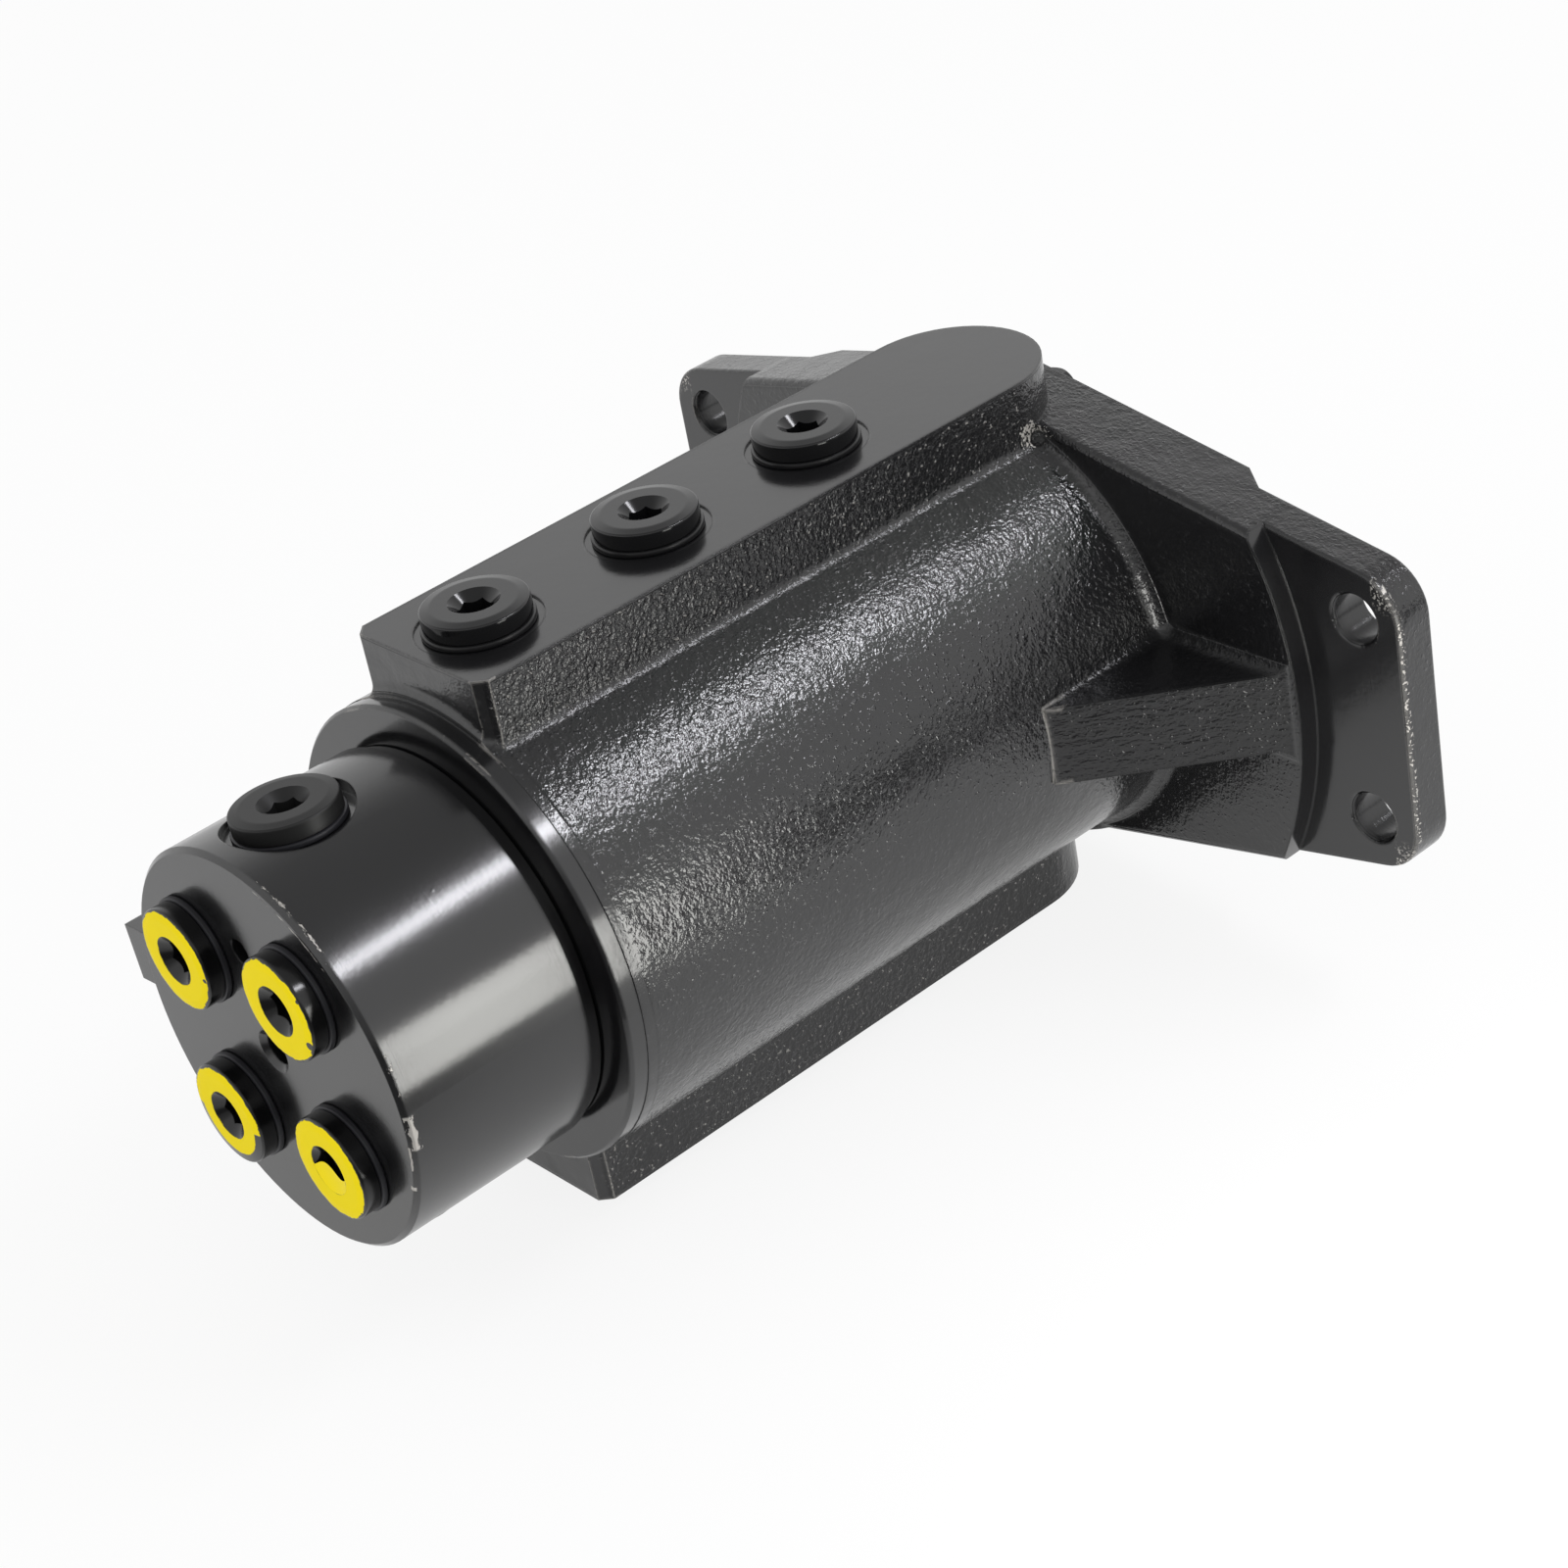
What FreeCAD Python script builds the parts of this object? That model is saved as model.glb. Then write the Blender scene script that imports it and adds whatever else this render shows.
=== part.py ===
import FreeCAD, Part
import math
import os

from FreeCAD import Placement, Rotation, Vector

# Center swivel joint of an excavator, in millimetres.
#
# The swivel axis is Y. The shaft's plugged end faces -Y, the flange is at +Y, and Z is up
# through the upper port boss. The origin lies on the axis, in the middle plane of the two
# flange ears. Six oil circuits run from the ports in the shaft's end, through grooves
# round the shaft, to three ports above and three below in the housing.

# Fits and clearances
running_fit = 0.05
seal_fit = 0.02
thread_clearance = 0.05
seat_clearance = 0.1
loose_clearance = 0.3
thrust_clearance = 0.1
head_gap = 0.5

# Reach of a cutting tool past the metal, how near an edge must be to be picked, and how
# far apart two cast surfaces may lie and still be joined as one
tool_clearance = 20.0
pick_tolerance = 0.05
fuse_tolerance = 0.005

# Housing barrel
barrel_radius = 62.5
barrel_length = 193.0
barrel_chamfer = 0.8
turned_band_width = 5.0
turned_band_depth = 0.2
bore_radius = 42.5

# Port bosses, above and below the barrel
boss_width = 50.0
boss_height = 75.0
boss_setback = 6.0
upper_boss_overrun = 13.0
lower_boss_overrun = -0.5
boss_corner_chamfer = 3.0
boss_root_fillet = 3.5

# Flange, its ears and its pilot
ear_thickness = 12.0
ear_hole_spacing_x = 242.0
ear_hole_spacing_z = 57.0
ear_hole_radius = 6.75
ear_hole_chamfer = 0.8
ear_corner_radius = 14.0
flange_slope_deg = 11.0
pilot_radius = 105.5
pilot_height = 6.3
gable_edge_fillet = 2.5
ear_edge_fillet = 1.0
pilot_root_fillet = 4.0
back_pad_half_width = 76.0
back_pad_height = 4.5
back_pad_draft = 6.5
cast_pit_radius = 1.8
cast_pit_reach = 8.0
cast_pit_rise = 0.4
cast_pit_z = 57.8

# Side gussets between barrel and flange; the slope is sideways rise per length
gusset_thickness = 22.0
gusset_reach = 103.0
gusset_slope = 0.9
gusset_near_fillet = 0.5
gusset_far_fillet = 6.0

# Threaded ports and their hollow-hex plugs
port_radius = 10.3
port_depth = 17.0
port_drill_radius = 6.0
circuit_count = 6
first_port_setback = 25.5
last_port_setback = 35.0
spot_face_radius = 16.0
spot_face_depth = 0.5
plug_head_radius = 13.5
plug_head_height = 5.0
plug_head_chamfer = 0.6
plug_flat_radius = 10.8
plug_slope_drop = 0.4
plug_shank_length = 14.0
plug_shank_chamfer = 1.2
plug_cone_radius = 6.5
hex_across_flats = 8.0
hex_depth = 8.0
port_plug_spin_step_deg = 17.0
face_plug_spin_step_deg = 23.0
plug_washer_radius = 14.1
plug_washer_thickness = 1.6

# Swivel shaft. An oil groove fills what the seal grooves and their lands leave free.
shaft_head_radius = 53.4
shaft_head_reach = 57.0
shaft_chamfer = 1.2
shaft_neck_radius = 51.8
shaft_neck_length = 3.8
shaft_turn_deg = 4.0
face_port_offset = 22.0
side_port_setback = 22.2
side_port_seat_height = 50.0
side_port_pocket_radius = 16.5
oil_groove_depth = 4.5
gallery_radius = 4.5
side_gallery_height = 28.0
centre_hole_radius = 4.25
centre_hole_depth = 22.0
centre_hole_countersink = 1.4
bracket_hole_radius = 3.4
bracket_hole_depth = 12.0
bracket_hole_height = 27.6

# Seals and bearings
seal_width = 5.0
seal_groove_depth = 5.0
seal_groove_land = 3.75
slipper_thickness = 2.0
end_seal_offset = 10.5
wear_ring_thickness = 2.5
near_wear_ring_width = 5.0
far_wear_ring_width = 9.0
wear_ring_land = 2.0
dust_seal_width = 5.5
dust_seal_thickness = 5.0

# Shaft retention inside the flange end
counterbore_radius = 47.5
counterbore_depth = 24.5
thrust_washer_thickness = 3.0
retaining_plate_radius = 46.5
retaining_plate_thickness = 8.0
retaining_plate_hole_radius = 9.0
retaining_bolt_offset = 21.0
retaining_bolt_radius = 5.0
retaining_bolt_length = 18.0
retaining_bolt_head_flats = 16.0
retaining_bolt_head_height = 6.4
gallery_plug_length = 8.0

# End cover
cover_radius = 59.0
cover_thickness = 6.0
cover_chamfer = 1.0
cover_spigot_length = 4.5
cover_spigot_bore_radius = 41.5
cover_seal_width = 2.4
cover_seal_depth = 2.2
cover_bolt_count = 6
cover_bolt_circle_radius = 52.5
cover_bolt_start_deg = 30.0
cover_bolt_radius = 3.0
cover_bolt_length = 12.0
cover_bolt_head_flats = 10.0
cover_bolt_head_height = 4.0
spring_washer_radius = 5.4
spring_washer_thickness = 1.6

# Anti-rotation lug
lug_height = 16.0
lug_depth = 20.0
lug_reach = 78.0
lug_setback = 8.0
lug_seat_depth = 4.0
lug_shoulder = 1.0
lug_edge_fillet = 1.5

# Places that follow from the sizes above
ear_front_y = -ear_thickness / 2
ear_back_y = ear_thickness / 2
near_face_y = ear_front_y - barrel_length
shaft_face_y = near_face_y - shaft_head_reach
back_face_y = ear_back_y + back_pad_height
pilot_face_y = ear_front_y - pilot_height
gusset_length = (gusset_reach - barrel_radius) / gusset_slope
upper_boss_end_y = ear_front_y + upper_boss_overrun
lower_boss_end_y = ear_front_y + lower_boss_overrun
circuit_step = (barrel_length - first_port_setback - last_port_setback) / (circuit_count - 1)
circuit_y = [near_face_y + first_port_setback + row * circuit_step for row in range(circuit_count)]
oil_groove_width = circuit_step - seal_width - 2 * seal_groove_land
counterbore_floor_y = back_face_y - counterbore_depth
thrust_face_y = counterbore_floor_y + thrust_washer_thickness
shaft_end_y = thrust_face_y + thrust_clearance
journal_radius = bore_radius - running_fit
shaft_groove_radius = journal_radius - seal_groove_depth
side_port_y = shaft_face_y + side_port_setback
plate_outer_y = shaft_end_y + retaining_plate_thickness
lug_shoulder_x = shaft_head_radius + seat_clearance

AXIS = Vector(0, 1, 0)
UP = Vector(0, 0, 1)
DOWN = Vector(0, 0, -1)
NEAR = Vector(0, -1, 0)
ORIGIN = Vector(0, 0, 0)


def y_cylinder(radius, y_from, y_to, x=0.0, z=0.0):
    """Solid cylinder along the swivel axis direction."""
    return Part.makeCylinder(radius, y_to - y_from, Vector(x, y_from, z), AXIS)


def y_ring(outer, inner, y_from, y_to):
    """Plain ring about the swivel axis."""
    return y_cylinder(outer, y_from, y_to).cut(y_cylinder(inner, y_from, y_to))


def y_revolve(profile):
    """Solid of revolution about the swivel axis from (radius, y) corners."""
    corners = [Vector(radius, y, 0) for radius, y in profile]
    face = Part.Face(Part.makePolygon(corners + corners[:1]))
    return face.revolve(ORIGIN, AXIS, 360)


def block(x_from, x_to, y_from, y_to, z_from, z_to):
    """Rectangular block between two opposite corners."""
    size = (x_to - x_from, y_to - y_from, z_to - z_from)
    return Part.makeBox(*size, Vector(x_from, y_from, z_from))


def hexagon(across_flats, height, base_z):
    """Hexagonal prism along Z."""
    corner = across_flats / 2 / math.cos(math.pi / 6)
    points = []
    for side in range(7):
        turn = math.radians(60 * side)
        points.append(Vector(corner * math.cos(turn), corner * math.sin(turn), base_z))
    return Part.Face(Part.makePolygon(points)).extrude(Vector(0, 0, height))


def placed(shape, position, direction, spin_deg=0.0):
    """Copy of a shape drawn along +Z, set at a position and pointing in a direction."""
    copy = shape.copy()
    spin = Rotation(UP, spin_deg)
    copy.Placement = Placement(position, Rotation(UP, direction).multiply(spin))
    return copy


def with_shaft(shape):
    """Turn a piece of the shaft by the angle at which the shaft stands at rest."""
    turned = shape.copy()
    turned.rotate(ORIGIN, AXIS, -shaft_turn_deg)
    return turned


def edges_where(shape, keep):
    """Edges of a shape whose middle point passes the test."""
    chosen = []
    for edge in shape.Edges:
        first, last = edge.ParameterRange
        if keep(edge, edge.valueAt((first + last) / 2)):
            chosen.append(edge)
    return chosen


def port_plug():
    """Hollow-hex plug drawn along +Z, its seat on the washer at z = washer thickness."""
    seat = plug_washer_thickness
    top = seat + plug_head_height
    rim = top - plug_slope_drop
    shank_radius = port_radius - thread_clearance
    shank_end = seat - plug_shank_length
    profile = [
        (0, shank_end),
        (shank_radius - plug_shank_chamfer, shank_end),
        (shank_radius, shank_end + plug_shank_chamfer),
        (shank_radius, seat),
        (plug_head_radius, seat),
        (plug_head_radius, rim - plug_head_chamfer),
        (plug_head_radius - plug_head_chamfer, rim),
        (plug_flat_radius, top),
        (0, top),
    ]
    points = [Vector(radius, 0, z) for radius, z in profile]
    body = Part.Face(Part.makePolygon(points + points[:1])).revolve(ORIGIN, UP, 360)
    socket = hexagon(hex_across_flats, hex_depth, top - hex_depth)
    cone_tip_radius = hex_across_flats / 2
    cone_depth = plug_cone_radius - cone_tip_radius
    cone = Part.makeCone(cone_tip_radius, plug_cone_radius, cone_depth, Vector(0, 0, top - cone_depth))
    return body.cut(socket).cut(cone)


def plug_washer():
    """Sealing washer under a plug's head, drawn along +Z from its seat."""
    disc = Part.makeCylinder(plug_washer_radius, plug_washer_thickness)
    return disc.cut(Part.makeCylinder(port_radius + loose_clearance, plug_washer_thickness))


def port_hole(seat, direction, spot_radius, drill_to):
    """Tool for one port: pocket down to the seat, tapped hole, drilling to a depth."""
    spot = Part.makeCylinder(spot_radius, tool_clearance)
    tapped = Part.makeCylinder(port_radius, port_depth, Vector(0, 0, -port_depth))
    drill = Part.makeCylinder(port_drill_radius, drill_to, Vector(0, 0, -drill_to))
    return placed(spot.fuse([tapped, drill]), seat, direction)


def flange_outline():
    """Closed wire of the flange in the XZ plane: a low gable with rounded ear corners."""
    slope = math.radians(flange_slope_deg)
    centre_x = ear_hole_spacing_x / 2
    centre_z = ear_hole_spacing_z / 2
    radius = ear_corner_radius
    shoulder_x = centre_x + radius * math.sin(slope)
    shoulder_z = centre_z + radius * math.cos(slope)
    apex_z = shoulder_z + shoulder_x * math.tan(slope)
    middle = (math.pi / 2 - slope) / 2
    bend = (centre_x + radius * math.cos(middle), centre_z + radius * math.sin(middle))
    side_x = centre_x + radius

    def quadrant(sx, sz):
        arc = [(side_x, centre_z), bend, (shoulder_x, shoulder_z), (0, apex_z)]
        return [Vector(sx * x, 0, sz * z) for x, z in arc]

    edges = []
    for sx, sz in ((1, 1), (-1, 1), (-1, -1), (1, -1)):
        side, mid, shoulder, apex = quadrant(sx, sz)
        edges.append(Part.Arc(side, mid, shoulder).toShape())
        edges.append(Part.LineSegment(shoulder, apex).toShape())
        if sz > 0:
            edges.append(Part.LineSegment(side, quadrant(sx, -1)[0]).toShape())
    return Part.Wire(Part.__sortEdges__(edges))


def flange_slab(y_from, y_to):
    """Slab of the flange's outline between two planes across the axis."""
    face = Part.Face(flange_outline())
    face.translate(Vector(0, y_from, 0))
    return face.extrude(Vector(0, y_to - y_from, 0))


def flange():
    """Flange plate with its ears, the round pilot in front and the raised pad behind."""
    plate = flange_slab(ear_front_y, ear_back_y)
    front = flange_slab(pilot_face_y, ear_front_y)
    front = front.common(y_cylinder(pilot_radius, pilot_face_y, ear_front_y))
    pad = flange_slab(ear_back_y, back_face_y)
    pad = pad.common(back_pad_limit())
    body = plate.fuse([front, pad]).removeSplitter()
    body = body.makeFillet(gable_edge_fillet, edges_where(body, on_gable_front))
    return body.makeFillet(ear_edge_fillet, edges_where(body, on_ear_rim))


def cast_pit():
    """Tool for the small casting flaw where the boss side meets the pilot's fillet."""
    floor = Vector(boss_width / 2, pilot_face_y, cast_pit_z)
    outward = Vector(1, -1, cast_pit_rise)
    return Part.makeCylinder(cast_pit_radius, cast_pit_reach, floor, outward)


def back_pad_limit():
    """Block that gives the raised pad its two slanted ends."""
    low = back_pad_half_width + back_pad_draft
    high = back_pad_half_width
    plan = [(-low, ear_back_y), (low, ear_back_y), (high, back_face_y), (-high, back_face_y)]
    corners = [Vector(x, y, -pilot_radius) for x, y in plan]
    face = Part.Face(Part.makePolygon(corners + corners[:1]))
    return face.extrude(Vector(0, 0, 2 * pilot_radius))


def on_gable_front(edge, mid):
    """True for the straight sloping edges in the pilot's front face."""
    straight = edge.Curve.TypeId == "Part::GeomLine"
    return straight and abs(mid.y - pilot_face_y) < pick_tolerance


def on_ear_rim(edge, mid):
    """True for the outer edges of the ears, in front and behind."""
    if abs(mid.y - ear_front_y) < pick_tolerance:
        return abs(math.hypot(mid.x, mid.z) - pilot_radius) > pick_tolerance
    behind = abs(mid.y - ear_back_y) < pick_tolerance
    pad_end = back_pad_half_width + back_pad_draft
    return behind and abs(abs(mid.x) - pad_end) > pick_tolerance


def barrel_core():
    """Plain barrel, long enough to pass under the round ends of both bosses."""
    return y_cylinder(barrel_radius, near_face_y, back_face_y + boss_root_fillet)


def ribbed_barrel():
    """Barrel and gussets up to the pilot's face, with cast fillets at every root."""
    right = gusset()
    left = right.mirror(ORIGIN, Vector(1, 0, 0))
    body = barrel_core().fuse([right, left]).removeSplitter()
    roots = edges_where(body, on_gusset_root)
    body = body.makeFillet(gusset_near_fillet, gusset_far_fillet, roots)
    disc = y_cylinder(pilot_radius + tool_clearance, pilot_face_y, ear_front_y)
    body = body.fuse(disc).removeSplitter()
    body = body.makeFillet(pilot_root_fillet, edges_where(body, on_pilot_root))
    return body.common(y_cylinder(2 * pilot_radius, near_face_y, pilot_face_y))


def on_gusset_root(edge, mid):
    """True for the four long edges where the gussets grow out of the barrel."""
    first = edge.valueAt(edge.ParameterRange[0])
    along_axis = abs(first.x - mid.x) < pick_tolerance and abs(first.y - mid.y) > barrel_chamfer
    on_barrel = abs(math.hypot(mid.x, mid.z) - barrel_radius) < pick_tolerance
    return along_axis and on_barrel and abs(abs(mid.z) - gusset_thickness / 2) < pick_tolerance


def on_pilot_root(edge, mid):
    """True for the edges in the pilot's face where barrel and gussets stand on it."""
    in_face = abs(mid.y - pilot_face_y) < pick_tolerance
    return in_face and math.hypot(mid.x, mid.z) < pilot_radius


def turned_band():
    """Tool that turns the barrel's near end down and breaks its edge."""
    band = barrel_radius - turned_band_depth
    clear = barrel_radius + boss_setback
    band_end = near_face_y + turned_band_width
    profile = [
        (band - barrel_chamfer, near_face_y),
        (band, near_face_y + barrel_chamfer),
        (band, band_end),
        (clear, band_end),
        (clear, near_face_y),
    ]
    return y_revolve(profile)


def port_boss(end_y):
    """Upper port boss: a flat-topped block with chamfered near corners and a round end."""
    half = boss_width / 2
    near_y = near_face_y + boss_setback
    round_y = end_y - half
    corner = boss_corner_chamfer
    points = [
        Vector(half, round_y, 0),
        Vector(half, near_y + corner, 0),
        Vector(half - corner, near_y, 0),
        Vector(corner - half, near_y, 0),
        Vector(-half, near_y + corner, 0),
        Vector(-half, round_y, 0),
    ]
    edges = [Part.LineSegment(a, b).toShape() for a, b in zip(points, points[1:])]
    edges.append(Part.Arc(points[-1], Vector(0, end_y, 0), points[0]).toShape())
    return Part.Face(Part.Wire(edges)).extrude(Vector(0, 0, boss_height))


def gusset():
    """Thick rib in the plane of the axis on the +X side, from the barrel to the pilot."""
    near_y = pilot_face_y - gusset_length
    inner_x = barrel_radius - gusset_thickness
    plan = [
        (inner_x, near_y),
        (barrel_radius, near_y),
        (gusset_reach, pilot_face_y),
        (gusset_reach, 0),
        (inner_x, 0),
    ]
    points = [Vector(x, y, -gusset_thickness / 2) for x, y in plan]
    face = Part.Face(Part.makePolygon(points + points[:1]))
    return face.extrude(Vector(0, 0, gusset_thickness))


def cast_body():
    """Raw casting before the machining cuts."""
    upper = port_boss(upper_boss_end_y)
    lower = port_boss(lower_boss_end_y).mirror(ORIGIN, UP)
    body = barrel_core().fuse([upper, lower]).removeSplitter()
    body = body.makeFillet(boss_root_fillet, edges_where(body, on_boss_root))
    behind = y_cylinder(2 * barrel_radius, back_face_y, back_face_y + 2 * boss_width)
    band = turned_band()
    body = body.cut([behind, band])
    return body.fuse([ribbed_barrel().cut(band), flange()], fuse_tolerance).removeSplitter()


def on_boss_root(edge, mid):
    """True for the edges where a boss grows out of the barrel."""
    on_barrel = abs(math.hypot(mid.x, mid.z) - barrel_radius) < pick_tolerance
    in_width = abs(mid.x) <= boss_width / 2 + pick_tolerance
    near_limit = near_face_y + boss_setback - pick_tolerance
    return on_barrel and in_width and near_limit < mid.y < upper_boss_end_y + pick_tolerance


def ear_hole(x, z):
    """Tool for one ear hole with a chamfered mouth on both faces."""
    hole = y_cylinder(ear_hole_radius, ear_front_y, ear_back_y, x, z)
    wide = ear_hole_radius + ear_hole_chamfer
    front = Part.makeCone(wide, ear_hole_radius, ear_hole_chamfer, Vector(x, ear_front_y, z), AXIS)
    back = Part.makeCone(wide, ear_hole_radius, ear_hole_chamfer, Vector(x, ear_back_y, z), NEAR)
    return hole.fuse([front, back])


def cover_bolt_places():
    """(x, z) places of the cover bolts round the axis."""
    places = []
    for number in range(cover_bolt_count):
        turn = math.radians(cover_bolt_start_deg + 360 * number / cover_bolt_count)
        radius = cover_bolt_circle_radius
        places.append((radius * math.cos(turn), radius * math.sin(turn)))
    return places


def housing_port_seat(number, side):
    """Seat of housing port 0 to 2, above (side 1) or below (side -1)."""
    row = 2 * number if side > 0 else 2 * number + 1
    return Vector(0, circuit_y[row], side * (boss_height - spot_face_depth))


def housing_casting():
    """Machined housing: bore, end recesses, ports, ear holes and cover threads."""
    tools = [
        y_cylinder(bore_radius, near_face_y, back_face_y),
        y_cylinder(bore_radius + dust_seal_thickness, near_face_y, near_face_y + dust_seal_width),
        y_cylinder(counterbore_radius, counterbore_floor_y, back_face_y),
    ]
    drill_to = boss_height - bore_radius
    for side, direction in ((1, UP), (-1, DOWN)):
        for number in range(3):
            seat = housing_port_seat(number, side)
            tools.append(port_hole(seat, direction, spot_face_radius, drill_to))
    for x in (-ear_hole_spacing_x / 2, ear_hole_spacing_x / 2):
        for z in (-ear_hole_spacing_z / 2, ear_hole_spacing_z / 2):
            tools.append(ear_hole(x, z))
    thread_end = back_face_y - cover_bolt_length
    for x, z in cover_bolt_places():
        radius = cover_bolt_radius + thread_clearance
        tools.append(y_cylinder(radius, thread_end, back_face_y, x, z))
    tools.append(cast_pit())
    return cast_body().cut(tools)


def seal_centres():
    """Middle of each of the seven seal grooves along the shaft."""
    middles = [(a + b) / 2 for a, b in zip(circuit_y, circuit_y[1:])]
    return [circuit_y[0] - end_seal_offset] + middles + [circuit_y[-1] + end_seal_offset]


def near_wear_ring_span():
    """Start and end of the wear ring at the near end of the journal."""
    end = seal_centres()[0] - seal_width / 2 - wear_ring_land
    return end - near_wear_ring_width, end


def far_wear_ring_span():
    """Start and end of the wear ring at the far end of the journal."""
    start = seal_centres()[-1] + seal_width / 2 + wear_ring_land
    return start, start + far_wear_ring_width


def shaft_grooves():
    """(from, to, bottom radius) of every groove on the journal, from near to far."""
    grooves = []
    for y in circuit_y:
        half = oil_groove_width / 2
        grooves.append((y - half, y + half, journal_radius - oil_groove_depth))
    for y in seal_centres():
        half = seal_width / 2
        grooves.append((y - half, y + half, shaft_groove_radius))
    wear_radius = bore_radius - seal_fit - wear_ring_thickness
    for start, end in (near_wear_ring_span(), far_wear_ring_span()):
        grooves.append((start, end, wear_radius))
    return sorted(grooves)


def shaft_blank():
    """Turned shaft: head in front of the housing and grooved journal inside it."""
    neck_end = near_face_y - head_gap
    neck_start = neck_end - shaft_neck_length
    profile = [
        (0, shaft_face_y),
        (shaft_head_radius - shaft_chamfer, shaft_face_y),
        (shaft_head_radius, shaft_face_y + shaft_chamfer),
        (shaft_head_radius, neck_start),
        (shaft_neck_radius, neck_start),
        (shaft_neck_radius, neck_end),
        (journal_radius, neck_end),
    ]
    for start, end, radius in shaft_grooves():
        profile += [(journal_radius, start), (radius, start), (radius, end), (journal_radius, end)]
    profile += [
        (journal_radius, shaft_end_y - shaft_chamfer),
        (journal_radius - shaft_chamfer, shaft_end_y),
        (0, shaft_end_y),
    ]
    return y_revolve(profile)


def face_port_places():
    """(x, z, circuit) of the four ports in the shaft's end face."""
    a = face_port_offset
    return [(-a, a, 0), (a, a, 1), (-a, -a, 2), (a, -a, 3)]


def face_gallery(x, z, circuit):
    """Tool for one face port: tapped mouth, long drilling, cross drilling to its groove."""
    groove_y = circuit_y[circuit]
    tapped = y_cylinder(port_radius, shaft_face_y, shaft_face_y + port_depth, x, z)
    drilling = y_cylinder(gallery_radius, shaft_face_y, groove_y + gallery_radius, x, z)
    outwards = Vector(x, 0, z)
    cross = Part.makeCylinder(gallery_radius, journal_radius - outwards.Length, Vector(x, groove_y, z), outwards)
    return tapped.fuse([drilling, cross])


def side_gallery(side, circuit):
    """Tool for one side port: pocket, tapped hole, drilling from the far end, cross hole."""
    direction = UP if side > 0 else DOWN
    seat = Vector(0, side_port_y, side * side_port_seat_height)
    drill_to = side_port_seat_height - side_gallery_height
    mouth = port_hole(seat, direction, side_port_pocket_radius, drill_to)
    z = side * side_gallery_height
    drilling = y_cylinder(gallery_radius, side_port_y, shaft_end_y, 0, z)
    cross_start = Vector(0, circuit_y[circuit], z)
    cross_length = journal_radius - side_gallery_height
    cross = Part.makeCylinder(gallery_radius, cross_length, cross_start, direction)
    return mouth.fuse([drilling, cross])


def lug_tongue(margin):
    """Tongue by which the lug sits in the shaft, grown by a margin on its four sides."""
    inset = lug_shoulder - margin
    start = shaft_face_y + lug_setback + inset
    end = shaft_face_y + lug_setback + lug_depth - inset
    half = lug_height / 2 - inset
    return block(-lug_shoulder_x, lug_seat_depth - shaft_head_radius, start, end, -half, half)


def shaft():
    """Shaft with its ports, galleries, end holes, lug seat and retaining threads."""
    tools = [face_gallery(x, z, circuit) for x, z, circuit in face_port_places()]
    tools += [side_gallery(1, 4), side_gallery(-1, 5), lug_tongue(seat_clearance)]
    tools.append(y_cylinder(centre_hole_radius, shaft_face_y, shaft_face_y + centre_hole_depth))
    mouth = centre_hole_radius + centre_hole_countersink
    sink = centre_hole_countersink
    tools.append(Part.makeCone(mouth, centre_hole_radius, sink, Vector(0, shaft_face_y, 0), AXIS))
    bracket_end = shaft_face_y + bracket_hole_depth
    tools.append(y_cylinder(bracket_hole_radius, shaft_face_y, bracket_end, 0, bracket_hole_height))
    for x, z in retaining_bolt_places():
        radius = retaining_bolt_radius + thread_clearance
        tools.append(y_cylinder(radius, shaft_end_y - retaining_bolt_length, shaft_end_y, x, z))
    return shaft_blank().cut(tools)


def retaining_bolt_places():
    """(x, z) places of the bolts that hold the retaining plate."""
    a = retaining_bolt_offset
    return [(-a, a), (a, a), (-a, -a), (a, -a)]


def anti_rotation_lug():
    """Square block on the side of the shaft's head, its outer edges rounded."""
    start = shaft_face_y + lug_setback
    half = lug_height / 2
    lug = block(-lug_reach, -lug_shoulder_x, start, start + lug_depth, -half, half)
    outer = edges_where(lug, lambda edge, mid: abs(mid.x + lug_reach) < pick_tolerance)
    return lug.makeFillet(lug_edge_fillet, outer).fuse(lug_tongue(0.0))


def hex_bolt(radius, length, flats, head_height):
    """Hexagon bolt drawn along +Z: shank below z = 0, chamfered head above."""
    shank = Part.makeCylinder(radius, length, Vector(0, 0, -length))
    head = hexagon(flats, head_height, 0)
    corner = flats / 2 / math.cos(math.pi / 6)
    edge_break = corner - flats / 2
    limit = Part.makeCylinder(corner, head_height - edge_break)
    top = Vector(0, 0, head_height - edge_break)
    crown = Part.makeCone(corner, flats / 2, edge_break, top)
    return shank.fuse(head.common(limit.fuse(crown)))


def retaining_plate():
    """Disc bolted to the shaft's end that bears on the thrust washer."""
    plate = y_cylinder(retaining_plate_radius, shaft_end_y, plate_outer_y)
    tools = [y_cylinder(retaining_plate_hole_radius, shaft_end_y, plate_outer_y)]
    for x, z in retaining_bolt_places():
        radius = retaining_bolt_radius + loose_clearance
        tools.append(y_cylinder(radius, shaft_end_y, plate_outer_y, x, z))
    return plate.cut(tools)


def retaining_bolts():
    """The four bolts through the retaining plate."""
    length = retaining_plate_thickness + retaining_bolt_length - seat_clearance
    flats = retaining_bolt_head_flats
    bolt = hex_bolt(retaining_bolt_radius, length, flats, retaining_bolt_head_height)
    places = retaining_bolt_places()
    return Part.makeCompound([placed(bolt, Vector(x, plate_outer_y, z), AXIS) for x, z in places])


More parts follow.
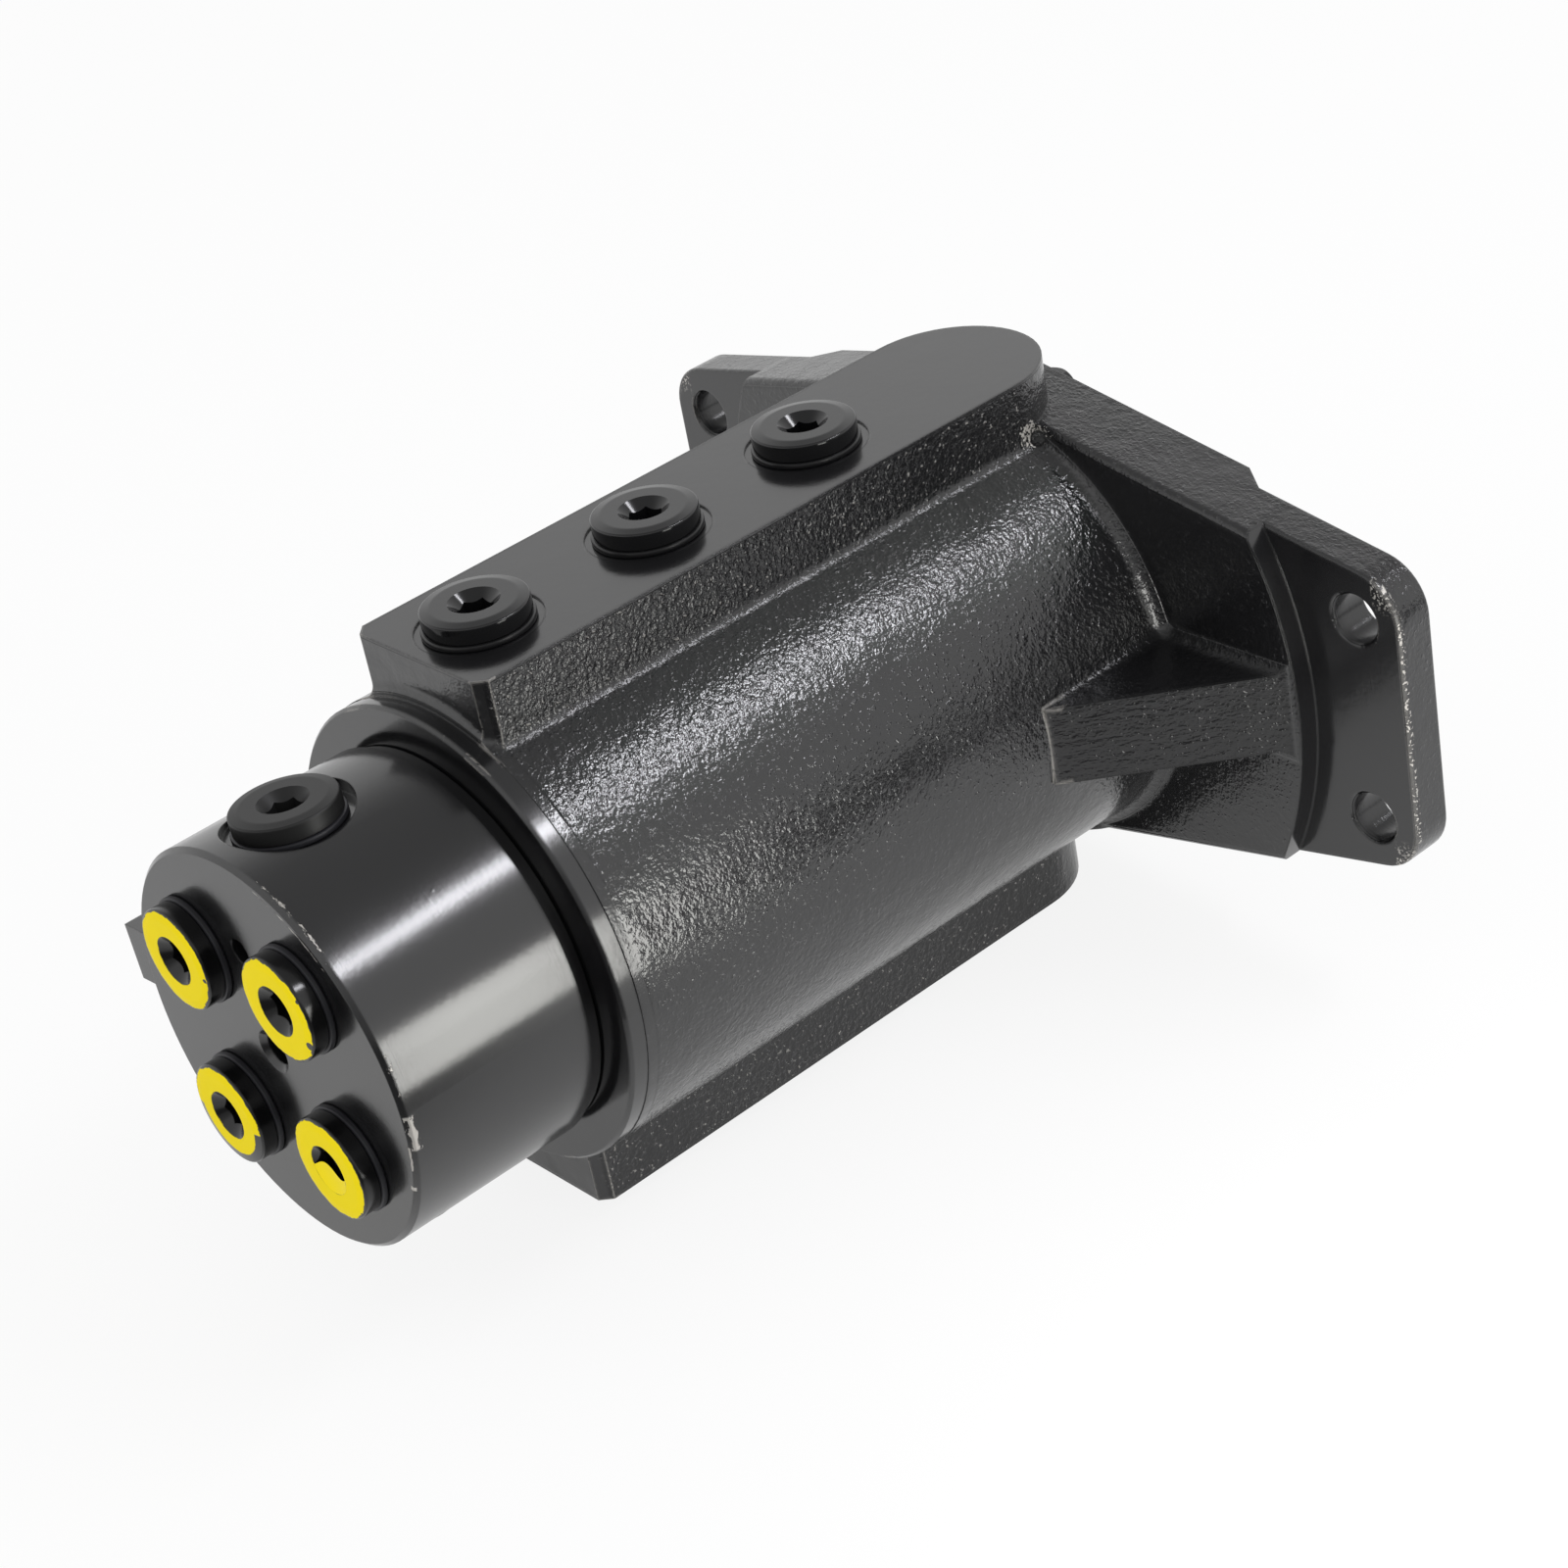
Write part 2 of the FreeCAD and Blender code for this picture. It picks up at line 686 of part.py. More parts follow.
def end_cover():
    """Cover plate over the flange end, with a hollow spigot that carries its seal ring."""
    outer_y = back_face_y + cover_thickness
    spigot = counterbore_radius - seat_clearance
    spigot_y = back_face_y - cover_spigot_length
    groove_y = seal_groove_start()
    groove_radius = spigot - cover_seal_depth
    profile = [
        (0, outer_y),
        (cover_radius - cover_chamfer, outer_y),
        (cover_radius, outer_y - cover_chamfer),
        (cover_radius, back_face_y),
        (spigot, back_face_y),
        (spigot, groove_y + cover_seal_width),
        (groove_radius, groove_y + cover_seal_width),
        (groove_radius, groove_y),
        (spigot, groove_y),
        (spigot, spigot_y),
        (cover_spigot_bore_radius, spigot_y),
        (cover_spigot_bore_radius, back_face_y),
        (0, back_face_y),
    ]
    tools = []
    for x, z in cover_bolt_places():
        radius = cover_bolt_radius + loose_clearance
        tools.append(y_cylinder(radius, back_face_y, outer_y, x, z))
    return y_revolve(profile).cut(tools)


def seal_groove_start():
    """Near edge of the seal groove in the cover's spigot."""
    return back_face_y - cover_spigot_length / 2 - cover_seal_width / 2


def cover_seal_ring():
    """Seal ring in the cover's spigot groove."""
    groove_radius = counterbore_radius - seat_clearance - cover_seal_depth
    start = seal_groove_start()
    return y_ring(counterbore_radius - seal_fit, groove_radius, start, start + cover_seal_width)


def cover_bolts():
    """Bolts round the end cover, their heads on spring washers."""
    length = cover_bolt_length + cover_thickness + spring_washer_thickness - seat_clearance
    bolt = hex_bolt(cover_bolt_radius, length, cover_bolt_head_flats, cover_bolt_head_height)
    head_y = back_face_y + cover_thickness + spring_washer_thickness
    places = cover_bolt_places()
    return Part.makeCompound([placed(bolt, Vector(x, head_y, z), AXIS) for x, z in places])


def cover_spring_washers():
    """Spring washers under the cover bolts."""
    washer = Part.makeCylinder(spring_washer_radius, spring_washer_thickness)
    washer = washer.cut(Part.makeCylinder(cover_bolt_radius + seat_clearance, spring_washer_thickness))
    seat_y = back_face_y + cover_thickness
    places = cover_bolt_places()
    return Part.makeCompound([placed(washer, Vector(x, seat_y, z), AXIS) for x, z in places])


def seal_rings():
    """Slipper ring and energiser ring for each seal groove, by name."""
    rings = {}
    outer = bore_radius - seal_fit
    middle = outer - slipper_thickness
    for number, y in enumerate(seal_centres(), 1):
        start, end = y - seal_width / 2, y + seal_width / 2
        rings["slipper_ring_%d" % number] = y_ring(outer, middle, start, end)
        rings["energiser_ring_%d" % number] = y_ring(middle, shaft_groove_radius, start, end)
    return rings


def housing_pieces():
    """Every piece that stays with the housing, by name."""
    pieces = {"housing_casting": housing_casting()}
    for side, word, direction in ((1, "top", UP), (-1, "bottom", DOWN)):
        for number in range(3):
            seat = housing_port_seat(number, side)
            spin = port_plug_spin_step_deg * number
            name = "%s_port_%%s_%d" % (word, number + 1)
            pieces[name % "plug"] = placed(port_plug(), seat, direction, spin)
            pieces[name % "washer"] = placed(plug_washer(), seat, direction)
    dust_end = near_face_y + dust_seal_width
    dust_outer = bore_radius + dust_seal_thickness - seal_fit
    pieces["dust_seal"] = y_ring(dust_outer, bore_radius, near_face_y, dust_end)
    thrust_outer = counterbore_radius - loose_clearance
    thrust_inner = bore_radius + loose_clearance
    pieces["thrust_washer"] = y_ring(thrust_outer, thrust_inner, counterbore_floor_y, thrust_face_y)
    pieces["end_cover"] = end_cover()
    pieces["cover_seal_ring"] = cover_seal_ring()
    pieces["cover_bolts"] = cover_bolts()
    pieces["cover_spring_washers"] = cover_spring_washers()
    return pieces


def shaft_pieces():
    """Every piece that turns with the shaft, by name, before its turn at rest."""
    pieces = {"swivel_shaft": shaft(), "anti_rotation_lug": anti_rotation_lug()}
    for number, (x, z, circuit) in enumerate(face_port_places(), 1):
        seat = Vector(x, shaft_face_y, z)
        spin = face_plug_spin_step_deg * number
        pieces["face_plug_%d" % number] = placed(port_plug(), seat, NEAR, spin)
        pieces["face_plug_washer_%d" % number] = placed(plug_washer(), seat, NEAR)
    for side, word, direction in ((1, "top", UP), (-1, "bottom", DOWN)):
        seat = Vector(0, side_port_y, side * side_port_seat_height)
        pieces["side_plug_" + word] = placed(port_plug(), seat, direction)
        pieces["side_plug_washer_" + word] = placed(plug_washer(), seat, direction)
        z = side * side_gallery_height
        radius = gallery_radius - thread_clearance
        start = shaft_end_y - gallery_plug_length
        pieces["gallery_plug_" + word] = y_cylinder(radius, start, shaft_end_y, 0, z)
    pieces.update(seal_rings())
    wear_outer = bore_radius - seal_fit
    wear_inner = wear_outer - wear_ring_thickness
    for word, span in (("near", near_wear_ring_span()), ("far", far_wear_ring_span())):
        pieces[word + "_wear_ring"] = y_ring(wear_outer, wear_inner, *span)
    pieces["retaining_plate"] = retaining_plate()
    pieces["retaining_bolts"] = retaining_bolts()
    return {name: with_shaft(shape) for name, shape in pieces.items()}


def main():
    """Write every piece to its own file."""
    os.makedirs("parts", exist_ok=True)
    pieces = housing_pieces()
    pieces.update(shaft_pieces())
    for name, shape in pieces.items():
        shape.exportStep("parts/%s.step" % name)
        print("%-24s solids %d  valid %s" % (name, len(shape.Solids), shape.isValid()))


main()
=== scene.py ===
import math

import bmesh
import bpy
from bpy.props import FloatProperty, FloatVectorProperty, IntProperty, PointerProperty
from mathutils import Matrix, Vector


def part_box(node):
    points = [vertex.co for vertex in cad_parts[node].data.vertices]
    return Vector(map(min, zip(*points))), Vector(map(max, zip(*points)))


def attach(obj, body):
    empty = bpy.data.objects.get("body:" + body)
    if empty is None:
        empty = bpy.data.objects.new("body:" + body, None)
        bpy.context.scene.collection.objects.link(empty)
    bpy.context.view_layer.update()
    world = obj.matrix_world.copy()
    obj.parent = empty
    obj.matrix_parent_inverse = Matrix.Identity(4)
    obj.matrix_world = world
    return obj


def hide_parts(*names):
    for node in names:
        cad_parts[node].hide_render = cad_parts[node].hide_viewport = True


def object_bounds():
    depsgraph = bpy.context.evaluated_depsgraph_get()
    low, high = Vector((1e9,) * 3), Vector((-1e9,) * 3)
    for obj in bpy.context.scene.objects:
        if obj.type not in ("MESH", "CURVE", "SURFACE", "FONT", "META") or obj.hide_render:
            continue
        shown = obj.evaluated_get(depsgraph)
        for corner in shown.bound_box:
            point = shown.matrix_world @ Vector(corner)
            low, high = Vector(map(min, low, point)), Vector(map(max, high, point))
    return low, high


bl_info = {
    "name": "Swivel Joint Finish",
    "version": (1, 0, 0),
    "blender": (4, 5, 0),
    "location": "View3D > Sidebar > Swivel Joint",
    "description": "Plugs, paint and stage for an excavator center swivel joint",
    "category": "Object",
}

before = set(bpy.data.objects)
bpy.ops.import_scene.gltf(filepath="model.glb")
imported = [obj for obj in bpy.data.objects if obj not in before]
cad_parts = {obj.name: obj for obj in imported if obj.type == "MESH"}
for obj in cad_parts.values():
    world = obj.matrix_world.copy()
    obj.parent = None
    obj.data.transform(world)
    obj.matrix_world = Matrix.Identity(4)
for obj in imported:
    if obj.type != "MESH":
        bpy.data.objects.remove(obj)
cad_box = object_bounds()

MM = 0.001
HOUSING = "housing"
SHAFT = "shaft"
SHAFT_TURN = math.radians(-4.0)
UP = Vector((0, 0, 1))
NEAR = Vector((0, -1, 0))
FACE_PLUGS = ("face_plug_1", "face_plug_2", "face_plug_3", "face_plug_4")

# Where the paint changes on the casting, in metres
BOSS_TOP = 0.07415
BOSS_WALL = 0.0243
BOSS_ROOT = 0.0560
GUSSET_ROOT = 0.0620
GUSSET_HALF = 0.0150
BAND_END = -0.1941
BOSS_END = -0.1912
PILOT_FACE = -0.0125
EAR_FACE = -0.0064
BACK_FACE = 0.0058
BORE_RADIUS = 0.0479
PILOT_RADIUS = 0.1055
EAR_HOLE = (0.121, 0.0285)
EAR_CORNER = (0.1315, 0.0415)
EAR_RIM = 0.1344
PIT = (0.0259, -0.0132, 0.0583)
PIT_CRUST = (0.0262, -0.0150, 0.0606)

# The same on the shaft
SHAFT_RADIUS = 0.0534
FACE_RADIUS = 0.0522
SHAFT_FACE = -0.2560
RIM_CORNER = -0.2546
FACE_START = -0.2545
NECK = -0.2028

# Height that the relief of painted metal is drawn in shares of
RELIEF = 0.3 * MM

# The plugs and washers
SIDE_PLUG_TOP = 0.0566
WASHER_THICKNESS = 1.6 * MM

# The stage: the camera was fitted to the photo's outlines
CAMERA_PLACE = Vector((0.6275, -0.5587, 0.4419))
CAMERA_RIGHT = Vector((0.66143, 0.73097, -0.16793))
CAMERA_UP = Vector((-0.28092, 0.44906, 0.84819))
CAMERA_SIDE = (0.8, -0.6)
FLOOR_HALF_WIDTH = 6.0


def middle_of(node):
    """Middle of a CAD piece's box."""
    low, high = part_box(node)
    return (low + high) / 2


# Settings a user may change

class PaintSettings(bpy.types.PropertyGroup):
    """Colours and gloss of the paints."""

    black: FloatVectorProperty(
        name="Black", description="Colour of the black paint on casting and shaft",
        default=(0.0055, 0.0055, 0.006), min=0, max=1, subtype="COLOR",
    )
    plug_black: FloatVectorProperty(
        name="Plug black", description="Colour of the plugs and their washers",
        default=(0.004, 0.004, 0.0043), min=0, max=1, subtype="COLOR",
    )
    yellow: FloatVectorProperty(
        name="Yellow", description="Colour of the marking paint on the face plugs",
        default=(0.94, 0.75, 0.0), min=0, max=1, subtype="COLOR",
    )
    bare: FloatVectorProperty(
        name="Bare metal", description="Colour where the paint is chipped or worn away",
        default=(0.50, 0.48, 0.45), min=0, max=1, subtype="COLOR",
    )
    grain: FloatProperty(
        name="Casting grain", description="Height of the sand grain in the casting's skin",
        default=0.00030, min=0, max=0.002, unit="LENGTH", precision=5,
    )
    wear: FloatProperty(
        name="Edge wear", description="Share of the edges where the paint is worn thin",
        default=0.35, min=0, max=1, subtype="FACTOR",
    )


class PlugSettings(bpy.types.PropertyGroup):
    """Sizes of the hollow-hex port plugs and their washers."""

    head_radius: FloatProperty(
        name="Head radius", description="Radius of the plug's round head",
        default=0.0135, min=0.005, max=0.03, unit="LENGTH", precision=4,
    )
    head_height: FloatProperty(
        name="Head height", description="Height of the head above its washer",
        default=0.005, min=0.002, max=0.02, unit="LENGTH", precision=4,
    )
    flat_radius: FloatProperty(
        name="Flat radius", description="Radius of the flat part of the head's top",
        default=0.0108, min=0.004, max=0.03, unit="LENGTH", precision=4,
    )
    slope_drop: FloatProperty(
        name="Slope", description="Drop from the flat part of the top to the rim",
        default=0.0004, min=0.0, max=0.003, unit="LENGTH", precision=4,
    )
    edge_round: FloatProperty(
        name="Edge rounding", description="Radius of the head's rounded top edge",
        default=0.0006, min=0.0001, max=0.004, unit="LENGTH", precision=4,
    )
    shank_radius: FloatProperty(
        name="Shank radius", description="Radius of the threaded shank",
        default=0.01025, min=0.002, max=0.02, unit="LENGTH", precision=5,
    )
    shank_length: FloatProperty(
        name="Shank length", description="Length of the threaded shank under the head",
        default=0.014, min=0.002, max=0.04, unit="LENGTH", precision=4,
    )
    hexagon: FloatProperty(
        name="Hexagon", description="Width of the hexagon socket across its flats",
        default=0.008, min=0.003, max=0.02, unit="LENGTH", precision=4,
    )
    socket_depth: FloatProperty(
        name="Socket depth", description="Depth of the hexagon socket",
        default=0.008, min=0.002, max=0.02, unit="LENGTH", precision=4,
    )
    cone_radius: FloatProperty(
        name="Mouth radius", description="Radius of the cone at the socket's mouth",
        default=0.0065, min=0.003, max=0.02, unit="LENGTH", precision=4,
    )
    washer_radius: FloatProperty(
        name="Washer radius", description="Outer radius of the sealing washer",
        default=0.0141, min=0.005, max=0.03, unit="LENGTH", precision=4,
    )
    washer_bore: FloatProperty(
        name="Washer bore", description="Inner radius of the sealing washer",
        default=0.0106, min=0.003, max=0.03, unit="LENGTH", precision=4,
    )
    segments: IntProperty(
        name="Segments", description="Steps round a plug, a multiple of twelve",
        default=72, min=24, max=144,
    )


class StageSettings(bpy.types.PropertyGroup):
    """Floor, light and camera."""

    lens: FloatProperty(
        name="Lens", description="Focal length on a 36 mm wide sensor",
        default=79.77, min=10, max=300, unit="CAMERA",
    )
    ambient: FloatProperty(
        name="Ambient light", description="Strength of the even light from all round",
        default=0.95, min=0, max=3,
    )
    key: FloatProperty(
        name="Softbox", description="Power of the softbox behind and above on the right",
        default=4.7, min=0, max=500, unit="POWER",
    )
    side: FloatProperty(
        name="Side panel", description="Power of the low panel on the right",
        default=0.36, min=0, max=500, unit="POWER",
    )
    floor: FloatVectorProperty(
        name="Floor", description="Colour of the floor",
        default=(0.8, 0.8, 0.8), min=0, max=1, subtype="COLOR",
    )


# Node wiring

class Wiring:
    """Adds nodes to one tree and joins them. Any input may be a number or a socket."""

    def __init__(self, tree):
        self.tree = tree

    def feed(self, socket, value):
        if isinstance(value, bpy.types.NodeSocket):
            self.tree.links.new(value, socket)
        else:
            socket.default_value = value

    def add(self, kind, inputs=None, **settings):
        made = self.tree.nodes.new(kind)
        for name, value in settings.items():
            setattr(made, name, value)
        for name, value in (inputs or {}).items():
            self.feed(made.inputs[name], value)
        return made

    def math(self, operation, *values, clamp=False):
        made = self.add("ShaderNodeMath", operation=operation, use_clamp=clamp)
        for socket, value in zip(made.inputs, values):
            self.feed(socket, value)
        return made.outputs[0]

    def chain(self, operation, values):
        total = values[0]
        for value in values[1:]:
            total = self.math(operation, total, value)
        return total

    def plus(self, *values):
        return self.chain("ADD", values)

    def times(self, *values):
        return self.chain("MULTIPLY", values)

    def most(self, *values):
        return self.chain("MAXIMUM", values)

    def least(self, *values):
        return self.chain("MINIMUM", values)

    def size(self, value):
        """The value without its sign."""
        return self.math("ABSOLUTE", value)

    def minus(self, first, second):
        return self.math("SUBTRACT", first, second)

    def rest(self, value):
        """What a mask leaves free."""
        return self.math("SUBTRACT", 1.0, value, clamp=True)

    def rise(self, value, low, high):
        """Smooth step from 0 at low to 1 at high."""
        made = self.add("ShaderNodeMapRange", interpolation_type="SMOOTHSTEP")
        for name, number in (("Value", value), ("From Min", low), ("From Max", high)):
            self.feed(made.inputs[name], number)
        return made.outputs[0]

    def fall(self, value, low, high):
        """Smooth step from 1 at low to 0 at high."""
        return self.rest(self.rise(value, low, high))

    def span(self, value, low, high, soft):
        """One between low and high, fading to nothing over the soft width outside."""
        return self.times(self.rise(value, low - soft, low), self.fall(value, high, high + soft))

    def scaled(self, value, out_low, out_high):
        """A mask stretched to run between two numbers."""
        made = self.add("ShaderNodeMapRange", {"To Min": out_low, "To Max": out_high})
        self.feed(made.inputs["Value"], value)
        return made.outputs[0]

    def noise(self, place, scale, detail=2.0, roughness=0.5):
        values = {"Vector": place, "Scale": scale, "Detail": detail, "Roughness": roughness}
        return self.add("ShaderNodeTexNoise", values).outputs["Fac"]

    def lines(self, value, scale, detail=3.0):
        """Noise that changes along one number only."""
        made = self.add("ShaderNodeTexNoise", noise_dimensions="1D")
        for name, number in (("W", value), ("Scale", scale), ("Detail", detail)):
            self.feed(made.inputs[name], number)
        return made.outputs["Fac"]

    def cells(self, place, scale):
        """Distance from the nearest of points scattered over the place."""
        values = {"Vector": place, "Scale": scale}
        return self.add("ShaderNodeTexVoronoi", values).outputs["Distance"]

    def split(self, vector):
        return self.add("ShaderNodeSeparateXYZ", {"Vector": vector}).outputs

    def joined(self, x, y, z):
        return self.add("ShaderNodeCombineXYZ", {"X": x, "Y": y, "Z": z}).outputs[0]

    def reach(self, first, second):
        """Length of two numbers at right angles."""
        squares = self.plus(self.times(first, first), self.times(second, second))
        return self.math("SQRT", squares)

    def blend(self, share, first, second):
        """From the first colour to the second by a share."""
        made = self.add("ShaderNodeMix", data_type="RGBA")
        for index, value in ((0, share), (6, first), (7, second)):
            self.feed(made.inputs[index], value)
        return made.outputs[2]

    def group(self, name, inputs=None):
        made = self.tree.nodes.new("ShaderNodeGroup")
        made.node_tree = bpy.data.node_groups[name]
        for label, value in (inputs or {}).items():
            self.feed(made.inputs[label], value)
        return made.outputs


def opaque(colour):
    """A colour setting as the four numbers that a colour socket takes."""
    return (colour[0], colour[1], colour[2], 1.0)


def toned(colour, factor):
    """The same for the colour made lighter or darker by a factor."""
    return (colour[0] * factor, colour[1] * factor, colour[2] * factor, 1.0)


def new_group(name, inputs, outputs, normals=()):
    """Start a node group: wiring, its input sockets and its output sockets."""
    tree = bpy.data.node_groups.new(name, "ShaderNodeTree")
    for label, kind, default in inputs:
        socket = tree.interface.new_socket(name=label, in_out="INPUT", socket_type=kind)
        if default is not None:
            socket.default_value = default
    for label in outputs:
        tree.interface.new_socket(name=label, in_out="OUTPUT", socket_type="NodeSocketFloat")
    for label in normals:
        tree.interface.new_socket(name=label, in_out="OUTPUT", socket_type="NodeSocketVector")
    wiring = Wiring(tree)
    start = tree.nodes.new("NodeGroupInput").outputs
    return wiring, start, tree.nodes.new("NodeGroupOutput").inputs


def build_cast_skin():
    """Sand-cast iron under paint: height in shares of the grain height, and a mask of the grains,
    which the paint lightens as painted sparkle and painted glints.
    """
    inputs = [("Place", "NodeSocketVector", None), ("Roughness", "NodeSocketFloat", 1.0)]
    w, start, end = new_group("Cast skin", inputs, ("Height", "Grains"))
    place = start["Place"]
    sand = w.noise(place, 1300.0, 1.0, 0.6)
    pebbles = w.noise(place, 560.0, 1.0, 0.5)
    lumps = w.noise(place, 120.0, 1.0, 0.45)
    waves = w.noise(place, 22.0, 1.0, 0.4)
    grains = w.rise(w.noise(place, 850.0, 1.0, 0.6), 0.58, 0.78)
    patches = w.scaled(w.rise(w.noise(place, 17.0, 1.0, 0.5), 0.35, 0.65), 0.55, 1.25)
    fine = w.plus(w.times(sand, 0.34), w.times(pebbles, 0.62), w.times(grains, 0.34))
    rough = w.times(start["Roughness"], patches)
    slow = w.plus(w.times(lumps, 0.9), w.times(waves, 1.6))
    w.feed(end["Height"], w.plus(w.times(fine, rough), slow))
    w.feed(end["Grains"], grains)


def build_paint_skin():
    """Sprayed paint on machined metal: gentle orange peel and a few dust nibs."""
    inputs = [("Place", "NodeSocketVector", None)]
    w, start, end = new_group("Paint skin", inputs, ("Height", "Patches"))
    place = start["Place"]
    peel = w.noise(place, 420.0, 2.0, 0.5)
    roll = w.noise(place, 70.0, 1.0, 0.5)
    nib_size = w.cells(place, 150.0)
    nibs = w.times(w.fall(nib_size, 0.03, 0.07), w.rise(w.noise(place, 35.0), 0.55, 0.6))
    w.feed(end["Height"], w.plus(w.times(peel, 0.22), w.times(roll, 0.6), w.times(nibs, 0.35)))
    w.feed(end["Patches"], w.noise(place, 16.0, 2.0, 0.6))


def build_turned_marks():
    """Fine tool marks of turning: rings on end faces and along round walls."""
    inputs = [("Radius", "NodeSocketFloat", 0.0), ("Along", "NodeSocketFloat", 0.0)]
    w, start, end = new_group("Turned marks", inputs, ("Face rings", "Wall rings"))
    for output, value in (("Face rings", start["Radius"]), ("Wall rings", start["Along"])):
        w.feed(end[output], w.lines(value, 2600.0, 4.0))


def build_soft_edges():
    """Sharp edges softened as by a coat of paint, and where that coat is worn off them."""
    inputs = [
        ("Place", "NodeSocketVector", None),
        ("Width", "NodeSocketFloat", 0.0008),
        ("Amount", "NodeSocketFloat", 0.35),
    ]
    w, start, end = new_group("Soft edges", inputs, ("Worn",), ("Normal",))
    soft = w.add("ShaderNodeBevel", {"Radius": start["Width"]}, samples=2).outputs[0]
    true_normal = w.add("ShaderNodeNewGeometry").outputs["Normal"]
    match = w.add("ShaderNodeVectorMath", {0: soft, 1: true_normal}, operation="DOT_PRODUCT")
    edge = w.rise(w.rest(match.outputs["Value"]), 0.02, 0.10)
    patches = w.plus(w.times(w.noise(start["Place"], 45.0, 2.0, 0.6), 0.5),
                     w.times(w.noise(start["Place"], 900.0, 1.0, 0.7), 0.5))
    limit = w.minus(0.72, w.times(start["Amount"], 0.4))
    chosen = w.rise(w.minus(patches, limit), 0.0, 0.05)
    w.feed(end["Worn"], w.times(edge, chosen))
    w.feed(end["Normal"], soft)


def build_groups():
    """Make every shared node group once."""
    for name, build in (
        ("Cast skin", build_cast_skin),
        ("Paint skin", build_paint_skin),
        ("Turned marks", build_turned_marks),
        ("Soft edges", build_soft_edges),
    ):
        if name not in bpy.data.node_groups:
            build()


# Finishes

def new_finish(name):
    """Start a material: wiring, its shader, and the place on the piece."""
    build_groups()
    material = bpy.data.materials.new(name)
    material.use_nodes = True
    tree = material.node_tree
    shader = tree.nodes["Principled BSDF"]
    place = tree.nodes.new("ShaderNodeTexCoord").outputs["Object"]
    return material, Wiring(tree), shader.inputs, place


def round_edges(w, place, width, amount=0.0):
    """Softened edges of a width, with the share of them that is worn."""
    return w.group("Soft edges", {"Place": place, "Width": width, "Amount": amount})


def emboss(w, shader, height, depth, normal):
    """Shade the height, given in shares of a depth in metres."""
    bump = w.add("ShaderNodeBump", {"Strength": 1.0, "Distance": depth})
    w.feed(bump.inputs["Height"], height)
    w.feed(bump.inputs["Normal"], normal)
    w.feed(shader["Normal"], bump.outputs[0])


def apart(w, place, *middle):
    """Distance from a point, where None leaves an axis out."""
    squares = []
    for value, centre in zip(w.split(place), middle):
        if centre is not None:
            offset = w.minus(value, centre)
            squares.append(w.times(offset, offset))
    return w.math("SQRT", w.plus(*squares))


def machined_zone(w, place, holes):
    """Mask of the casting's machined faces: boss tops, end faces, band, flange front."""
    x, y, z = w.split(place)
    normal = w.tree.nodes.new("ShaderNodeTexCoord").outputs["Normal"]
    facing = w.rise(w.size(w.split(normal)[1]), 0.9, 0.97)
    tops = w.rise(w.size(z), BOSS_TOP, BOSS_TOP + 0.2 * MM)
    near_end = w.fall(y, BAND_END, BAND_END + 0.2 * MM)
    in_front = w.span(y, PILOT_FACE, -0.0055, 0.1 * MM)
    ears = w.span(y, EAR_FACE, EAR_FACE + 0.8 * MM, 0.1 * MM)
    fronts = w.plus(ears, w.times(w.fall(y, -0.0120, -0.0110), 0.5))
    from_step = w.size(w.minus(w.reach(x, z), PILOT_RADIUS))
    step = w.fall(from_step, 0.3 * MM, 0.6 * MM)
    bore = w.fall(w.reach(x, z), BORE_RADIUS, BORE_RADIUS + 0.2 * MM)
    back = w.times(facing, w.rise(y, BACK_FACE, BACK_FACE + 0.1 * MM))
    flange = w.most(w.times(facing, in_front, fronts), w.times(step, in_front))
    return w.most(tops, near_end, flange, back, bore, holes)


def ear_holes(w, place):
    """Mask of the walls of the four holes in the ears."""
    x, y, z = w.split(place)
    across = w.minus(w.size(x), EAR_HOLE[0])
    up = w.minus(w.size(z), EAR_HOLE[1])
    return w.fall(w.reach(across, up), 7.0 * MM, 7.2 * MM)


def boss_sides(w, place):
    """Mask of the upright cast walls of both bosses."""
    x, y, z = w.split(place)
    wall = w.span(w.size(x), BOSS_WALL, 0.0300, 0.6 * MM)
    clear_of_flange = w.fall(y, -0.0160, -0.0130)
    return w.times(wall, clear_of_flange, w.rise(w.size(z), BOSS_ROOT, 0.0600))


def gussets(w, place):
    """Mask of the two side gussets."""
    x, y, z = w.split(place)
    beyond_barrel = w.rise(w.size(x), GUSSET_ROOT, GUSSET_ROOT + 2.0 * MM)
    middle = w.fall(w.size(z), GUSSET_HALF, GUSSET_HALF + 2.0 * MM)
    return w.times(beyond_barrel, middle, w.fall(y, -0.0130, -0.0125))


def worn_places(w, place):
    """Mask of the edges where handling wore the paint: ears, gusset noses, near boss edges."""
    x, y, z = w.split(place)
    x, z = w.size(x), w.size(z)
    ears = w.times(w.rise(x, 0.1262, 0.1285), w.fall(y, -0.0030, -0.0010))
    tips = w.times(w.fall(z, GUSSET_HALF - 1.0 * MM, GUSSET_HALF), w.fall(x, 0.0650, 0.0662))
    noses = w.times(tips, w.span(y, -0.0620, -0.0500, 1.0 * MM))
    corners = w.times(w.fall(y, -0.1885, -0.1870), w.rise(z, BOSS_ROOT - 2.0 * MM, BOSS_ROOT))
    bosses = w.times(corners, w.scaled(w.rise(x, 0.0205, 0.0215), 0.25, 1.0))
    return w.most(ears, noses, bosses)


def pit_chips(w, place, ragged):
    """Mask of the crumbly bare crust beside the casting pit."""
    hollow = w.rise(apart(w, place, *PIT), 2.1 * MM, 2.4 * MM)
    distance = w.plus(apart(w, place, *PIT_CRUST), w.times(ragged, 6.0 * MM))
    crumbs = w.rise(w.noise(place, 1300.0, 1.0, 0.7), 0.44, 0.50)
    return w.times(w.fall(distance, 6.0 * MM, 6.4 * MM), hollow, crumbs)


